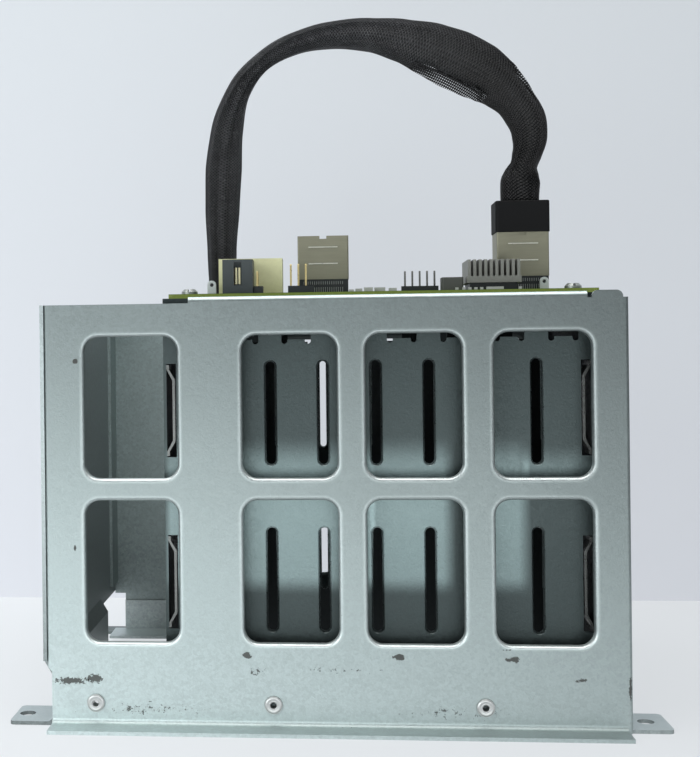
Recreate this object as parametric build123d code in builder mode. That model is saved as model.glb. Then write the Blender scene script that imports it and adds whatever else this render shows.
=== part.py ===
# Hot swap drive cage of folded zinc-coated steel. An outer shell carries a bay box for eight small
# drives, the backplane board they plug into lies across its top, and a sleeved data cable loops over it.
# It stands on its mouth flanges as photographed: X across the bays, Y from the near panel to the far
# panel, Z up, with the origin under the middle of its box.

import math
import os

from build123d import *

os.makedirs("parts", exist_ok=True)

# Shell: the outer sheet box, open at its mouth (below) and over the board (above)
sheet = 1.2
shell_width = 182.0
shell_depth = 134.0
shell_height = 134.0
flange_reach = 9.0
return_reach = 14.0
bend_radius = 1.5
ear_bend_radius = 2.2
overrun = 5.0

# Drawn windows of the two big panels
window_gaps = (12.9, 20.55, 9.0, 9.7, 11.05)
window_corner = 4.6
window_foot = 26.8
window_web = 6.9
window_head = 10.3
rim_depth = 2.4
rim_round = 1.1

# Top lip, bump tab and stepped foot of the near panel
lip_left_margin = 46.4
lip_right_margin = 12.4
lip_rise = 2.0
lip_reach = 9.4
bump_rise = 2.2
bump_gap = 1.3
bump_width = 9.4
bump_corner = 2.0
foot_step = 1.6
notch_height = 17.5
left_foot_length = 97.0
left_rear_drop = 2.1
rear_notch = 4.4
rear_lip_reach = 6.0

# Ears that bolt the cage down
ear_reach = 12.65
ear_depth = 18.0
ear_corner = 1.6
ear_hole = 5.2
left_ear_margin = 3.9
right_ear_margin = 6.6
rear_ear_hole = 4.6
rear_ear_margin = 6.0
ear_gap = 6.0

# Bay box: two guide plates with drawn ribs, joined by two end walls
bay_count = 8
left_compartment = 38.1
right_margin = 9.5
bay_room = 74.0
guide_gap = 10.0
guide_sheet = 1.0
guide_foot = 3.0
board_shelf = 29.0
rear_shelf = 14.0
wall_notch = 8.0
wall_notch_drop = 5.0
rib_width = 6.2
rib_rise = 1.2
slot_width = 3.1
slot_foot = 28.7
slot_web = 20.4
slot_head = 18.7
hook_width = 9.4
hook_leg = 1.9
hook_drop = 1.4
hook_bar = 3.0
hook_head = 13.7

# Bowed springs in the end cut-outs
spring_cut_trim = 2.9
spring_cut_foot = 29.3
spring_row_extra = 1.9
spring_sheet = 0.8
spring_width = 7.0
spring_bow = 1.9
spring_ramp = 3.6
spring_tab = 1.4
spring_clear = 0.4

# Mouth rails, riveted to the panels, that carry the bay box
rail_sheet = 1.0
rail_foot = 1.8
rail_height = 14.7
rail_leg = 10.5
rail_end_clear = 1.0
floor_tab_reach = 16.0

# Rivets
rivet_head = 5.5
rivet_head_height = 0.8
rivet_shank = 3.2
rivet_bore = 2.0
rivet_height = 7.7
rivet_shares = (-0.4137, -0.1044, 0.2555)

# Backplane board and what holds it
board_left_over = 1.6
board_right_margin = 2.2
board_setback = 30.0
board_tail = 10.0
board_thick = 2.4
board_corner = 1.2
screw_shank = 3.0
screw_hole_clear = 0.15
screw_head = 5.6
screw_head_height = 1.9
screw_slot = (0.9, 1.0)
screw_end = 2.2
screw_inset_left = 6.75
screw_inset_right = 7.5
screw_setback = 6.0
nut_width = 6.0
nut_height = 1.4

# Drive sockets that hang from the board into the bays
socket_width = 5.8
socket_end_gap = 1.0
socket_height = 8.0
socket_setback = 42.0
socket_wall = 0.9
socket_floor = 2.0
socket_tongue = 1.4
socket_tongue_height = 5.0

# Data receptacles on the board
data_margins = (52.6, 21.0)
data_setback = 54.0
data_width = 18.0
data_depth = 12.0
data_foot = 5.7
data_height = 15.4
data_wall = 0.5
data_core_inset = 0.2
data_tongue = 2.6
data_tongue_width = 13.2
data_tongue_height = 10.0
data_notch_width = 2.4
data_notch_depth = 1.1
data_bar_length = 10.4
data_bar_height = 0.6
data_bar_proud = 0.3
data_bar_shares = (0.36, 0.74)

# Cable plugs with their rocking latches
plug_width = 18.7
plug_depth = 12.6
plug_height = 11.0
plug_corner = 1.0
plug_seat = 0.1
insert_clear = 0.3
insert_depth = 11.6
insert_wall = 0.7
latch_pin = 1.0
latch_running = 0.05
latch_barrel = 0.95
latch_stand = 1.35
latch_pivot = 4.2
latch_sheet = 0.6
latch_width = 8.0
latch_side_clear = 0.35
latch_ear = 1.3
latch_pad_height = 6.6
latch_pad_bar = 0.5
latch_bar_shares = (0.4, 0.7, 1.0)
latch_arm = 4.4
hook_tip_width = 1.6
hook_tip_height = 1.2
hook_tip_spread = 4.4
hook_window_clear = 0.35
hook_tip_sink = 0.3

# Power headers
black_header = (10.3, 10.4, 11.5)
black_header_margin = 18.5
black_header_setback = 31.0
ivory_header = (22.2, 9.6, 12.7)
ivory_header_margin = 16.2
ivory_header_setback = 44.0
header_wall = 0.9
header_floor = 3.0
header_slot_width = 2.6
header_slot_foot = 2.6
power_pin = 1.0
power_pin_height = 9.0
power_pitch = 4.2
ivory_column_count = 4

# Pin headers
pin_pitch = 2.54
pin_size = 0.64
pin_base_depth = 2.5
pin_base_height = 2.4
fan_pins_margin = 41.6
fan_pins_setback = 33.0
fan_pin_height = 9.8
fan_base_end = 1.0
fan_base_extra = 1.6
long_pins_margin = 62.4
long_pins_setback = 47.0
long_pin_height = 7.7
jumper_margin = 30.2
jumper_setback = 32.0
jumper_pin_height = 7.4
fan_pin_count = 3
long_pin_count = 5
jumper_row_count = 2

# Chip, heat sink and small parts
sink_margin = 42.6
sink_setback = 35.5
sink_width = 18.2
sink_depth = 17.4
sink_foot = 2.6
sink_base = 2.2
sink_height = 7.8
fin_count = 10
fin_share = 0.56
chip_inset = 1.2
choke_margin = 50.8
choke_setback = 36.0
choke_width = 7.2
choke_height = 4.6
choke_corner = 0.8
clip_width = 3.0
clip_height = 4.9
clip_thick = 1.2
clip_hole = 1.3
clip_right = (14.8, 48.0)
clip_left = (14.2, 38.0)

# Small parts: a staggered group in the board's middle, then a row before the heat sink. Each has its
# width, depth and height.
middle_part_shares = (0.4333, 0.4515, 0.4738, 0.5017, 0.5311)
middle_part_setbacks = (38.0, 41.0, 38.0, 41.0, 38.0)
middle_part_sizes = ((1.7, 1.4, 1.1), (2.4, 1.4, 1.5), (3.0, 1.8, 1.7), (3.7, 2.4, 1.8), (2.7, 1.6, 1.4))
edge_part_margins = (46.2, 43.9, 41.9, 39.9, 38.0, 33.6, 25.3)
edge_part_setback = 32.4
edge_part_size = (1.0, 1.2, 0.9)
edge_part_wide = (5.6, 1.8, 1.0)
edge_wide_place = 5

# Data cable: the sleeve's thickness, and where the spare end stands
cable_thick = 6.0
cable_straight = 8.0
spare_plug_margin = 11.5
spare_plug_setback = 110.0

# Two edges or faces nearer than this are at the same place
same_place = 0.01

# Places worked out from the sizes above
half_width = shell_width / 2
window_width = (shell_width - sum(window_gaps)) / (len(window_gaps) - 1)
window_height = (shell_height - window_foot - window_web - window_head) / 2
slot_length = (shell_height - slot_foot - slot_web - slot_head) / 2
spring_cut_length = slot_length - spring_cut_trim
spring_cut_rise = slot_length + slot_web + spring_row_extra
lip_left = -half_width + lip_left_margin
lip_right = half_width - lip_right_margin
panel_inner = half_width - 2 * sheet
joggle_top = notch_height + 2 * foot_step
return_foot = joggle_top + foot_step
near_y = -shell_depth / 2
far_y = shell_depth / 2
ear_tip = half_width + ear_reach
bay_left = -half_width + left_compartment
bay_right = half_width - right_margin
bay_pitch = (bay_right - bay_left) / bay_count
guide_y = near_y + guide_gap
room_y = guide_y + guide_sheet
back_guide_y = room_y + bay_room
board_z = shell_height + lip_rise
board_top = board_z + board_thick
hook_foot = board_z - hook_head
shelf_y = back_guide_y + guide_sheet
board_left = bay_left - board_left_over
board_right = half_width - board_right_margin
board_width = board_right - board_left
board_y = near_y + board_setback
board_end_y = shelf_y + board_tail
data_centres = (board_left + data_margins[0], board_right - data_margins[1])
wall_left = bay_left - guide_sheet
wall_right = bay_right + guide_sheet
window_columns = [
    -half_width + sum(window_gaps[: k + 1]) + (k + 0.5) * window_width for k in range(len(window_gaps) - 1)
]
window_rows = [window_foot + window_height / 2 + row * (window_height + window_web) for row in range(2)]
slot_rows = [slot_foot + slot_length / 2 + row * (slot_length + slot_web) for row in range(2)]
spring_rows = [spring_cut_foot + spring_cut_length / 2 + row * spring_cut_rise for row in range(2)]
bay_edges = [bay_left + k * bay_pitch for k in range(bay_count + 1)]
bay_centres = [bay_left + (k + 0.5) * bay_pitch for k in range(bay_count)]
near_rivets = [share * shell_width for share in rivet_shares]
far_rivets = near_rivets[1:]
screw_columns = (board_left + screw_inset_left, board_right - screw_inset_right)
screw_rows = (board_y + screw_setback, board_end_y - screw_setback)


def upright(y):
    """A sketch plane that faces the camera side, at depth y: sketch X is X and sketch Y is height."""
    return Plane.XZ.offset(-y)


def block(x0, x1, y0, y1, z0, z1, mode=Mode.ADD):
    """A rectangular block between two opposite corners."""
    with Locations(((x0 + x1) / 2, (y0 + y1) / 2, (z0 + z1) / 2)):
        Box(x1 - x0, y1 - y0, z1 - z0, mode=mode)


def edges_at(part, axis, **place):
    """The edges along an axis whose middle lies at the given coordinates."""

    def there(edge):
        middle = edge.center()
        return all(abs(getattr(middle, key) - value) < same_place for key, value in place.items())

    return part.edges().filter_by(axis).filter_by(there)


def drawn_windows(face_y, inward, columns):
    """Windows whose rims are drawn into the shell: a collar, the opening, and a rounded outer edge."""
    spots = [(x, z) for x in columns for z in window_rows]
    with BuildSketch(upright(face_y)) as collars:
        with Locations(*spots):
            RectangleRounded(window_width + 2 * sheet, window_height + 2 * sheet, window_corner + sheet)
    extrude(collars.sketch, amount=-inward * rim_depth)
    with BuildSketch(upright(face_y - inward * overrun)) as openings:
        with Locations(*spots):
            RectangleRounded(window_width, window_height, window_corner)
    extrude(openings.sketch, amount=-inward * (rim_depth + 2 * overrun), mode=Mode.SUBTRACT)


def round_rims(part, face_y):
    """Rounds the outer edges of the openings, which are the wires of the outer face but its outline."""
    outer = part.faces().filter_by(Axis.Y).filter_by(lambda f: abs(f.center().Y - face_y) < same_place)
    rims = [w for f in outer for w in f.inner_wires() if w.bounding_box().size.Z > window_height / 2]
    fillet([edge for wire in rims for edge in wire.edges()], radius=rim_round)


def rivet_holes(y0, y1, columns):
    """Holes for the rivets, through whatever lies between two depths."""
    with BuildSketch(upright(y0 - overrun)) as holes:
        with Locations(*[(x, rivet_height) for x in columns]):
            Circle(rivet_shank / 2)
    extrude(holes.sketch, amount=-(y1 - y0 + 2 * overrun), mode=Mode.SUBTRACT)


# Near panel: eight drawn windows, a lip turned back over the bays, a bump tab, a stepped left foot,
# returns at both sides and a mouth flange turned towards the viewer.
with BuildPart() as front_panel:
    with BuildSketch(upright(near_y)):
        with BuildLine():
            Polyline(
                (-half_width + foot_step, 0),
                (-half_width + foot_step, notch_height),
                (-half_width, notch_height + foot_step),
                (-half_width, shell_height),
                (lip_left, shell_height),
                (lip_left, board_z),
                (lip_right, board_z),
                (lip_right, shell_height),
                (half_width, shell_height),
                (half_width, 0),
                close=True,
            )
        make_face()
    extrude(amount=-sheet)
    with BuildSketch(upright(near_y)) as bump:
        with Locations((lip_right + bump_gap + bump_width / 2, shell_height)):
            Rectangle(bump_width, 2 * bump_rise)
        fillet(bump.vertices().group_by(Axis.Y)[-1], radius=bump_corner)
    extrude(amount=-sheet)
    block(lip_left, lip_right, near_y, near_y + lip_reach, board_z - sheet, board_z)
    block(
        -half_width + foot_step, half_width - foot_step, near_y - flange_reach, near_y + sheet, 0, sheet
    )
    block(-half_width, -half_width + sheet, near_y, near_y + return_reach, return_foot, shell_height)
    block(half_width - sheet, half_width, near_y, near_y + return_reach, ear_gap, shell_height)
    drawn_windows(near_y, 1, window_columns)
    rivet_holes(near_y, near_y + sheet, near_rivets)
    fillet(edges_at(front_panel, Axis.X, Y=near_y, Z=board_z), radius=bend_radius)
    fillet(edges_at(front_panel, Axis.X, Y=near_y, Z=sheet), radius=bend_radius)
    fillet(edges_at(front_panel, Axis.X, Y=near_y + sheet, Z=0), radius=bend_radius)
    fillet(
        edges_at(front_panel, Axis.Z, X=-half_width, Y=near_y)
        + edges_at(front_panel, Axis.Z, X=half_width, Y=near_y),
        radius=rim_round,
    )
    round_rims(front_panel, near_y)
front_panel.part.label = "front_panel"
export_step(front_panel.part, "parts/front_panel.step")


# Far panel: six drawn windows behind the bays, a plain left field, an open lower left corner, and a
# mouth flange that runs past both sides as the two rear ears.
with BuildPart() as rear_panel:
    with BuildSketch(upright(far_y - sheet)):
        with BuildLine():
            Polyline(
                (-half_width + rear_notch, 0),
                (-half_width + rear_notch, notch_height),
                (-half_width, notch_height),
                (-half_width, shell_height),
                (half_width, shell_height),
                (half_width, 0),
                close=True,
            )
        make_face()
    extrude(amount=-sheet)
    block(-half_width, panel_inner, far_y - rear_lip_reach, far_y, shell_height - sheet, shell_height)
    with BuildSketch():
        with Locations((0, far_y + (flange_reach - sheet) / 2)):
            RectangleRounded(2 * (half_width + ear_reach), flange_reach + sheet, ear_corner)
        with Locations(*[(side * (ear_tip - rear_ear_margin), far_y + flange_reach / 2) for side in (-1, 1)]):
            Circle(rear_ear_hole / 2, mode=Mode.SUBTRACT)
    extrude(amount=sheet)
    block(-half_width, -half_width + sheet, far_y - return_reach, far_y, return_foot, shell_height)
    block(half_width - sheet, half_width, far_y - return_reach, far_y, ear_gap, shell_height)
    drawn_windows(far_y, -1, window_columns[1:])
    rivet_holes(far_y - sheet, far_y, far_rivets)
    fillet(edges_at(rear_panel, Axis.X, Y=far_y, Z=sheet), radius=bend_radius)
    fillet(edges_at(rear_panel, Axis.X, Y=far_y, Z=shell_height), radius=rim_round)
    fillet(
        edges_at(rear_panel, Axis.Z, X=-half_width, Y=far_y)
        + edges_at(rear_panel, Axis.Z, X=half_width, Y=far_y),
        radius=rim_round,
    )
    round_rims(rear_panel, far_y)
rear_panel.part.label = "rear_panel"
export_step(rear_panel.part, "parts/rear_panel.step")


# Left side panel: laps outside the panels' returns, joggles in above the floor, stops short of the far
# corner there, and turns out as the near left ear.
wall_foot = -half_width + foot_step
with BuildPart() as left_side_panel:
    block(-half_width - sheet, -half_width, near_y, far_y, joggle_top, shell_height)
    foot_end = near_y + sheet + left_foot_length
    block(-half_width - sheet, -half_width, foot_end, far_y, joggle_top - left_rear_drop, joggle_top)
    with BuildSketch(upright(near_y + sheet)):
        with BuildLine():
            Polyline(
                (-half_width - sheet, joggle_top + foot_step),
                (-half_width - sheet, joggle_top),
                (wall_foot, notch_height - foot_step),
                (wall_foot, 0),
                (wall_foot + sheet, 0),
                (wall_foot + sheet, notch_height - foot_step / 2),
                (-half_width, joggle_top + foot_step / 2),
                (-half_width, joggle_top + foot_step),
                close=True,
            )
        make_face()
    extrude(amount=-left_foot_length)
    with BuildSketch() as left_ear:
        with Locations(((wall_foot + sheet - ear_tip) / 2, near_y + sheet + ear_depth / 2)):
            Rectangle(wall_foot + sheet + ear_tip, ear_depth)
        fillet(left_ear.vertices().group_by(Axis.X)[0], radius=ear_corner)
        with Locations((-ear_tip + left_ear_margin, near_y + sheet + ear_depth / 2)):
            Circle(ear_hole / 2, mode=Mode.SUBTRACT)
    extrude(amount=sheet)
    fillet(edges_at(left_side_panel, Axis.Y, X=wall_foot, Z=sheet), radius=ear_bend_radius)
    fillet(edges_at(left_side_panel, Axis.Y, X=wall_foot + sheet, Z=0), radius=bend_radius)
left_side_panel.part.label = "left_side_panel"
export_step(left_side_panel.part, "parts/left_side_panel.step")


# Right side panel: stands inside the panels' returns and turns out under them as the near right ear.
with BuildPart() as right_side_panel:
    block(panel_inner, half_width - sheet, near_y + sheet, far_y - sheet, 0, shell_height)
    with BuildSketch() as right_ear:
        with Locations(((panel_inner + ear_tip) / 2, near_y + sheet + ear_depth / 2)):
            Rectangle(ear_tip - panel_inner, ear_depth)
        fillet(right_ear.vertices().group_by(Axis.X)[-1], radius=ear_corner)
        with Locations((ear_tip - right_ear_margin, near_y + sheet + ear_depth / 2)):
            Circle(ear_hole / 2, mode=Mode.SUBTRACT)
    extrude(amount=sheet)
    fillet(edges_at(right_side_panel, Axis.Y, X=half_width - sheet, Z=sheet), radius=bend_radius)
right_side_panel.part.label = "right_side_panel"
export_step(right_side_panel.part, "parts/right_side_panel.step")


def mouth_rail(panel_face, guide_face, inward, rivets):
    """A rail: a strip riveted to a panel, a shelf over the mouth and a leg against the guide plate."""
    strip_left = -half_width + rear_notch
    strip_right = panel_inner - rail_end_clear
    strip = sorted((panel_face, panel_face + inward * rail_sheet))
    shelf = sorted((panel_face, guide_face))
    leg = sorted((guide_face - inward * rail_sheet, guide_face))
    with BuildPart() as rail:
        block(strip_left, strip_right, *strip, rail_foot, rail_height)
        block(wall_left, wall_right, *shelf, rail_height - rail_sheet, rail_height)
        block(wall_left, wall_right, *leg, rail_height - rail_leg, rail_height)
        rivet_holes(*strip, rivets)
    return rail


front_rail = mouth_rail(near_y + sheet, guide_y, 1, near_rivets)
front_rail.part.label = "front_rail"
export_step(front_rail.part, "parts/front_rail.step")

# The rear rail also has a floor tab, turned in across the left compartment.
with BuildPart() as rear_rail:
    add(mouth_rail(far_y - sheet, shelf_y, -1, far_rivets).part)
    floor_y = far_y - sheet
    block(-half_width, wall_left, floor_y - floor_tab_reach, floor_y, rail_foot, rail_foot + rail_sheet)
rear_rail.part.label = "rear_rail"
export_step(rear_rail.part, "parts/rear_rail.step")


def guide_plate(outer_y, inward):
    """One guide plate: a rib drawn between each two bays, slotted down its middle, in two rows, with
    hook cut-outs at the top and spring cut-outs at both ends."""
    inner_y = outer_y + inward * guide_sheet
    face = sorted((outer_y, inner_y))
    rib_spots = [(x, z) for x in bay_edges[1:-1] for z in slot_rows]
    recess = rib_width - 2 * guide_sheet
    with BuildPart() as plate:
        block(wall_left, wall_right, *face, guide_foot, board_z)
        with BuildSketch(upright(inner_y)):
            with Locations(*rib_spots):
                SlotOverall(slot_length + rib_width - slot_width, rib_width, rotation=90)
        extrude(amount=-inward * rib_rise)
        with BuildSketch(upright(outer_y)):
            with Locations(*rib_spots):
                SlotOverall(slot_length + recess - slot_width, recess, rotation=90)
        extrude(amount=-inward * rib_rise, mode=Mode.SUBTRACT)
        with BuildSketch(upright(outer_y - inward * overrun)):
            with Locations(*rib_spots):
                SlotOverall(slot_length, slot_width, rotation=90)
            hook_spots = [(x, hook_foot + hook_bar / 2) for x in bay_centres]
            with Locations(*hook_spots):
                Rectangle(hook_width, hook_bar)
            for side in (-1, 1):
                reach = side * (hook_width - hook_leg) / 2
                with Locations(*[(x + reach, hook_foot) for x in bay_centres]):
                    SlotOverall(2 * hook_drop, hook_leg, rotation=90)
            for wall, side in ((bay_left, 1), (bay_right, -1)):
                with Locations(*[(wall + side * slot_width / 2, z) for z in spring_rows]):
                    Rectangle(slot_width, spring_cut_length)
        extrude(amount=-inward * (guide_sheet + 2 * overrun), mode=Mode.SUBTRACT)
    return plate


# Guide plates: the near one is what the windows show. Their ribs keep the drives a bay apart.
front_guide_plate = guide_plate(guide_y, 1)
front_guide_plate.part.label = "front_guide_plate"
export_step(front_guide_plate.part, "parts/front_guide_plate.step")

rear_guide_plate = guide_plate(shelf_y, -1)
rear_guide_plate.part.label = "rear_guide_plate"
export_step(rear_guide_plate.part, "parts/rear_guide_plate.step")


def shelf_sheet(y0, y1, screw_y):
    """A shelf under the board, with its two screw holes."""
    with BuildPart() as shelf:
        block(wall_left, board_right - guide_sheet, y0, y1, board_z - guide_sheet, board_z)
        with Locations(*[(x, screw_y, board_z) for x in screw_columns]):
            Hole(screw_shank / 2 + screw_hole_clear, depth=2 * guide_sheet)
    return shelf


# Board shelves, turned over from the tops of the guide plates: the near one back over the bays, the far
# one away from them.
front_board_shelf = shelf_sheet(room_y, guide_y + board_shelf, screw_rows[0])
front_board_shelf.part.label = "front_board_shelf"
export_step(front_board_shelf.part, "parts/front_board_shelf.step")

rear_board_shelf = shelf_sheet(shelf_y, shelf_y + rear_shelf, screw_rows[1])
rear_board_shelf.part.label = "rear_board_shelf"
export_step(rear_board_shelf.part, "parts/rear_board_shelf.step")


# End walls of the bay box, butted between the guide plates. The right one is notched round a board screw.
with BuildPart() as left_bay_wall:
    block(wall_left, bay_left, room_y, back_guide_y, guide_foot, board_z - guide_sheet)
left_bay_wall.part.label = "left_bay_wall"
export_step(left_bay_wall.part, "parts/left_bay_wall.step")

with BuildPart() as right_bay_wall:
    block(bay_right, wall_right, room_y, back_guide_y, guide_foot, board_z - guide_sheet)
    with Locations((bay_right, screw_rows[0], board_z - guide_sheet)):
        Box(2 * guide_sheet, wall_notch, 2 * wall_notch_drop, mode=Mode.SUBTRACT)
right_bay_wall.part.label = "right_bay_wall"
export_step(right_bay_wall.part, "parts/right_bay_wall.step")


# Bowed springs on the end walls, seen edge-on in the end cut-outs. They press on the outer drives.
with BuildPart() as guide_springs:
    for wall, side in ((bay_left, 1), (bay_right, -1)):
        for z in spring_rows:
            half = spring_cut_length / 2 - spring_clear
            heights = (half, half - spring_tab, half - spring_tab - spring_ramp)
            for first_y in (guide_y, shelf_y - spring_width):
                with BuildSketch(upright(first_y)):
                    with BuildLine():
                        Polyline(
                            (wall, z + heights[0]),
                            (wall, z + heights[1]),
                            (wall + side * spring_bow, z + heights[2]),
                            (wall + side * spring_bow, z - heights[2]),
                            (wall, z - heights[1]),
                            (wall, z - heights[0]),
                            (wall + side * spring_sheet, z - heights[0]),
                            (wall + side * spring_sheet, z - heights[1]),
                            (wall + side * (spring_bow + spring_sheet), z - heights[2] - spring_sheet / 2),
                            (wall + side * (spring_bow + spring_sheet), z + heights[2] + spring_sheet / 2),
                            (wall + side * spring_sheet, z + heights[1]),
                            (wall + side * spring_sheet, z + heights[0]),
                            close=True,
                        )
                    make_face()
                extrude(amount=-spring_width)
guide_springs.part.label = "guide_springs"
export_step(guide_springs.part, "parts/guide_springs.step")


# Shell rivets: flat rings of a blind rivet, three through the near mouth rail and two through the far one.
with BuildPart() as shell_rivets:
    for face_y, outward, columns in ((near_y, -1, near_rivets), (far_y, 1, far_rivets)):
        grip = sheet + rail_sheet
        with BuildSketch(upright(face_y)):
            with Locations(*[(x, rivet_height) for x in columns]):
                Circle(rivet_head / 2)
        extrude(amount=-outward * rivet_head_height)
        with BuildSketch(upright(face_y)):
            with Locations(*[(x, rivet_height) for x in columns]):
                Circle(rivet_shank / 2)
        extrude(amount=outward * (grip + rivet_head_height))
        with BuildSketch(upright(face_y - outward * grip)):
            with Locations(*[(x, rivet_height) for x in columns]):
                Circle(rivet_shank / 2 + rivet_head_height / 2)
        extrude(amount=outward * rivet_head_height)
        with BuildSketch(upright(face_y + outward * overrun)):
            with Locations(*[(x, rivet_height) for x in columns]):
                Circle(rivet_bore / 2)
        extrude(amount=outward * 2 * overrun, mode=Mode.SUBTRACT)
shell_rivets.part.label = "shell_rivets"
export_step(shell_rivets.part, "parts/shell_rivets.step")


# Backplane board, laid across the shelves of the guide plates.
with BuildPart() as backplane_board:
    with BuildSketch(Plane.XY.offset(board_z)):
        with Locations(((board_left + board_right) / 2, (board_y + board_end_y) / 2)):
            RectangleRounded(board_width, board_end_y - board_y, board_corner)
        with Locations(*[(x, y) for x in screw_columns for y in screw_rows]):
            Circle(screw_shank / 2 + screw_hole_clear, mode=Mode.SUBTRACT)
    extrude(amount=board_thick)
backplane_board.part.label = "backplane_board"
export_step(backplane_board.part, "parts/backplane_board.step")

# Board screws and the clinch nuts under the shelves that take them.
with BuildPart() as board_screws:
    for x in screw_columns:
        for y in screw_rows:
            with BuildSketch(Plane.XY.offset(board_top)):
                with Locations((x, y)):
                    Circle(screw_head / 2)
            extrude(amount=screw_head_height)
            with BuildSketch(Plane.XY.offset(board_z - guide_sheet - screw_end)):
                with Locations((x, y)):
                    Circle(screw_shank / 2)
            extrude(amount=board_thick + guide_sheet + screw_end)
    heads = board_screws.edges().filter_by(GeomType.CIRCLE).group_by(Axis.Z)[-1]
    chamfer(heads, length=screw_head_height / 2)
    with Locations(*[(x, y, board_top + screw_head_height) for x in screw_columns for y in screw_rows]):
        Box(screw_slot[0], screw_head, 2 * screw_slot[1], mode=Mode.SUBTRACT)
board_screws.part.label = "board_screws"
export_step(board_screws.part, "parts/board_screws.step")

with BuildPart() as clinch_nuts:
    with BuildSketch(Plane.XY.offset(board_z - guide_sheet - nut_height)):
        with Locations(*[(x, y) for x in screw_columns for y in screw_rows]):
            Circle(nut_width / 2)
            Circle(screw_shank / 2 + screw_hole_clear, mode=Mode.SUBTRACT)
    extrude(amount=nut_height)
clinch_nuts.part.label = "clinch_nuts"
export_step(clinch_nuts.part, "parts/clinch_nuts.step")


def drive_socket(x):
    """One drive socket under the board: an open housing with the contact tongue standing in it."""
    y0 = near_y + socket_setback
    y1 = back_guide_y - socket_end_gap
    z0 = board_z - socket_height
    with BuildPart() as socket:
        block(x - socket_width / 2, x + socket_width / 2, y0, y1, z0, board_z)
        block(
            x - socket_width / 2 + socket_wall,
            x + socket_width / 2 - socket_wall,
            y0 + socket_wall,
            y1 - socket_wall,
            z0,
            board_z - socket_floor,
            mode=Mode.SUBTRACT,
        )
        block(
            x - socket_tongue / 2,
            x + socket_tongue / 2,
            y0 + 2 * socket_wall,
            y1 - 2 * socket_wall,
            board_z - socket_floor - socket_tongue_height,
            board_z - socket_floor,
        )
    return socket


for number, x in enumerate(bay_centres, start=1):
    drive_socket_n = drive_socket(x)
    drive_socket_n.part.label = f"drive_socket_{number}"
    export_step(drive_socket_n.part, f"parts/drive_socket_{number}.step")


# Data receptacles: a folded metal shell round a black contact core.
data_y = near_y + data_setback
data_back_y = data_y + data_depth
data_z = board_top + data_foot
data_top = data_z + data_height
hook_z = data_top + plug_seat - latch_arm


def data_shell(x):
    """The receptacle's folded shell, with its key notch, two pressed bars and the latch windows."""
    x0 = x - data_width / 2
    x1 = x + data_width / 2
    with BuildPart() as shell:
        block(x0, x1, data_y, data_back_y, data_z, data_top)
        fillet(shell.edges().filter_by(Axis.Z), radius=data_wall)
        block(
            x0 + data_wall,
            x1 - data_wall,
            data_y + data_wall,
            data_back_y - data_wall,
            data_z,
            data_top,
            mode=Mode.SUBTRACT,
        )
        block(
            x - data_notch_width / 2,
            x + data_notch_width / 2,
            data_y - data_wall,
            data_y + data_wall,
            data_top - data_notch_depth,
            data_top,
            mode=Mode.SUBTRACT,
        )
        for share in data_bar_shares:
            bar_z = data_z + share * data_height
            block(
                x - data_bar_length / 2,
                x + data_bar_length / 2,
                data_y - data_bar_proud,
                data_y,
                bar_z - data_bar_height / 2,
                bar_z + data_bar_height / 2,
            )
        for side in (-1, 1):
            middle = x + side * hook_tip_spread / 2
            reach = hook_tip_width / 2 + hook_window_clear
            block(
                middle - reach,
                middle + reach,
                data_back_y - data_wall,
                data_back_y,
                hook_z - hook_window_clear,
                hook_z + hook_tip_height + hook_window_clear,
                mode=Mode.SUBTRACT,
            )
    return shell


def data_core(x):
    """The receptacle's core: a block on the board, and the contact tongue that the plug goes over."""
    middle_y = (data_y + data_back_y) / 2
    with BuildPart() as core:
        block(
            x - data_width / 2 + data_core_inset,
            x + data_width / 2 - data_core_inset,
            data_y + data_core_inset,
            data_back_y - data_core_inset,
            board_top,
            data_z,
        )
        block(
            x - data_tongue_width / 2,
            x + data_tongue_width / 2,
            middle_y - data_tongue / 2,
            middle_y + data_tongue / 2,
            data_z,
            data_z + data_tongue_height,
        )
    return core


for number, x in enumerate(data_centres, start=1):
    data_shell_n = data_shell(x)
    data_shell_n.part.label = f"data_shell_{number}"
    export_step(data_shell_n.part, f"parts/data_shell_{number}.step")
    data_core_n = data_core(x)
    data_core_n.part.label = f"data_core_{number}"
    export_step(data_core_n.part, f"parts/data_core_{number}.step")


# Cable plugs. Each is a moulded head over a metal insert, with a stamped latch that rocks on a pin
# between two lugs at its back: pressing the pad in lifts the two hooks out of the receptacle's windows.
def latch_line(centre_y):
    """The depth of the latch pin, behind a plug whose middle is at that depth."""
    return centre_y + plug_depth / 2 + latch_stand


def plug_head(x, y, z):
    """The moulded head, whose foot is at height z, with the two pin lugs at its back."""
    pin_y = latch_line(y)
    pin_z = z + latch_pivot
    lug_start = latch_width / 2 + latch_side_clear
    with BuildPart() as head:
        with BuildSketch(Plane.XY.offset(z)):
            with Locations((x, y)):
                RectangleRounded(plug_width, plug_depth, plug_corner)
        extrude(amount=plug_height)
        fillet(head.faces().sort_by(Axis.Z)[-1].edges(), radius=plug_corner / 2)
        for side in (-1, 1):
            with BuildSketch(Plane.YZ.offset(x + side * lug_start)):
                with Locations((pin_y, pin_z)):
                    Circle(latch_barrel)
                with Locations(((pin_y + y) / 2, pin_z)):
                    Rectangle(pin_y - y, 2 * latch_barrel)
            extrude(amount=side * latch_ear)
        with BuildSketch(Plane.YZ.offset(x - lug_start - latch_ear)):
            with Locations((pin_y, pin_z)):
                Circle(latch_pin / 2)
        extrude(amount=2 * (lug_start + latch_ear), mode=Mode.SUBTRACT)
    return head


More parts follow.
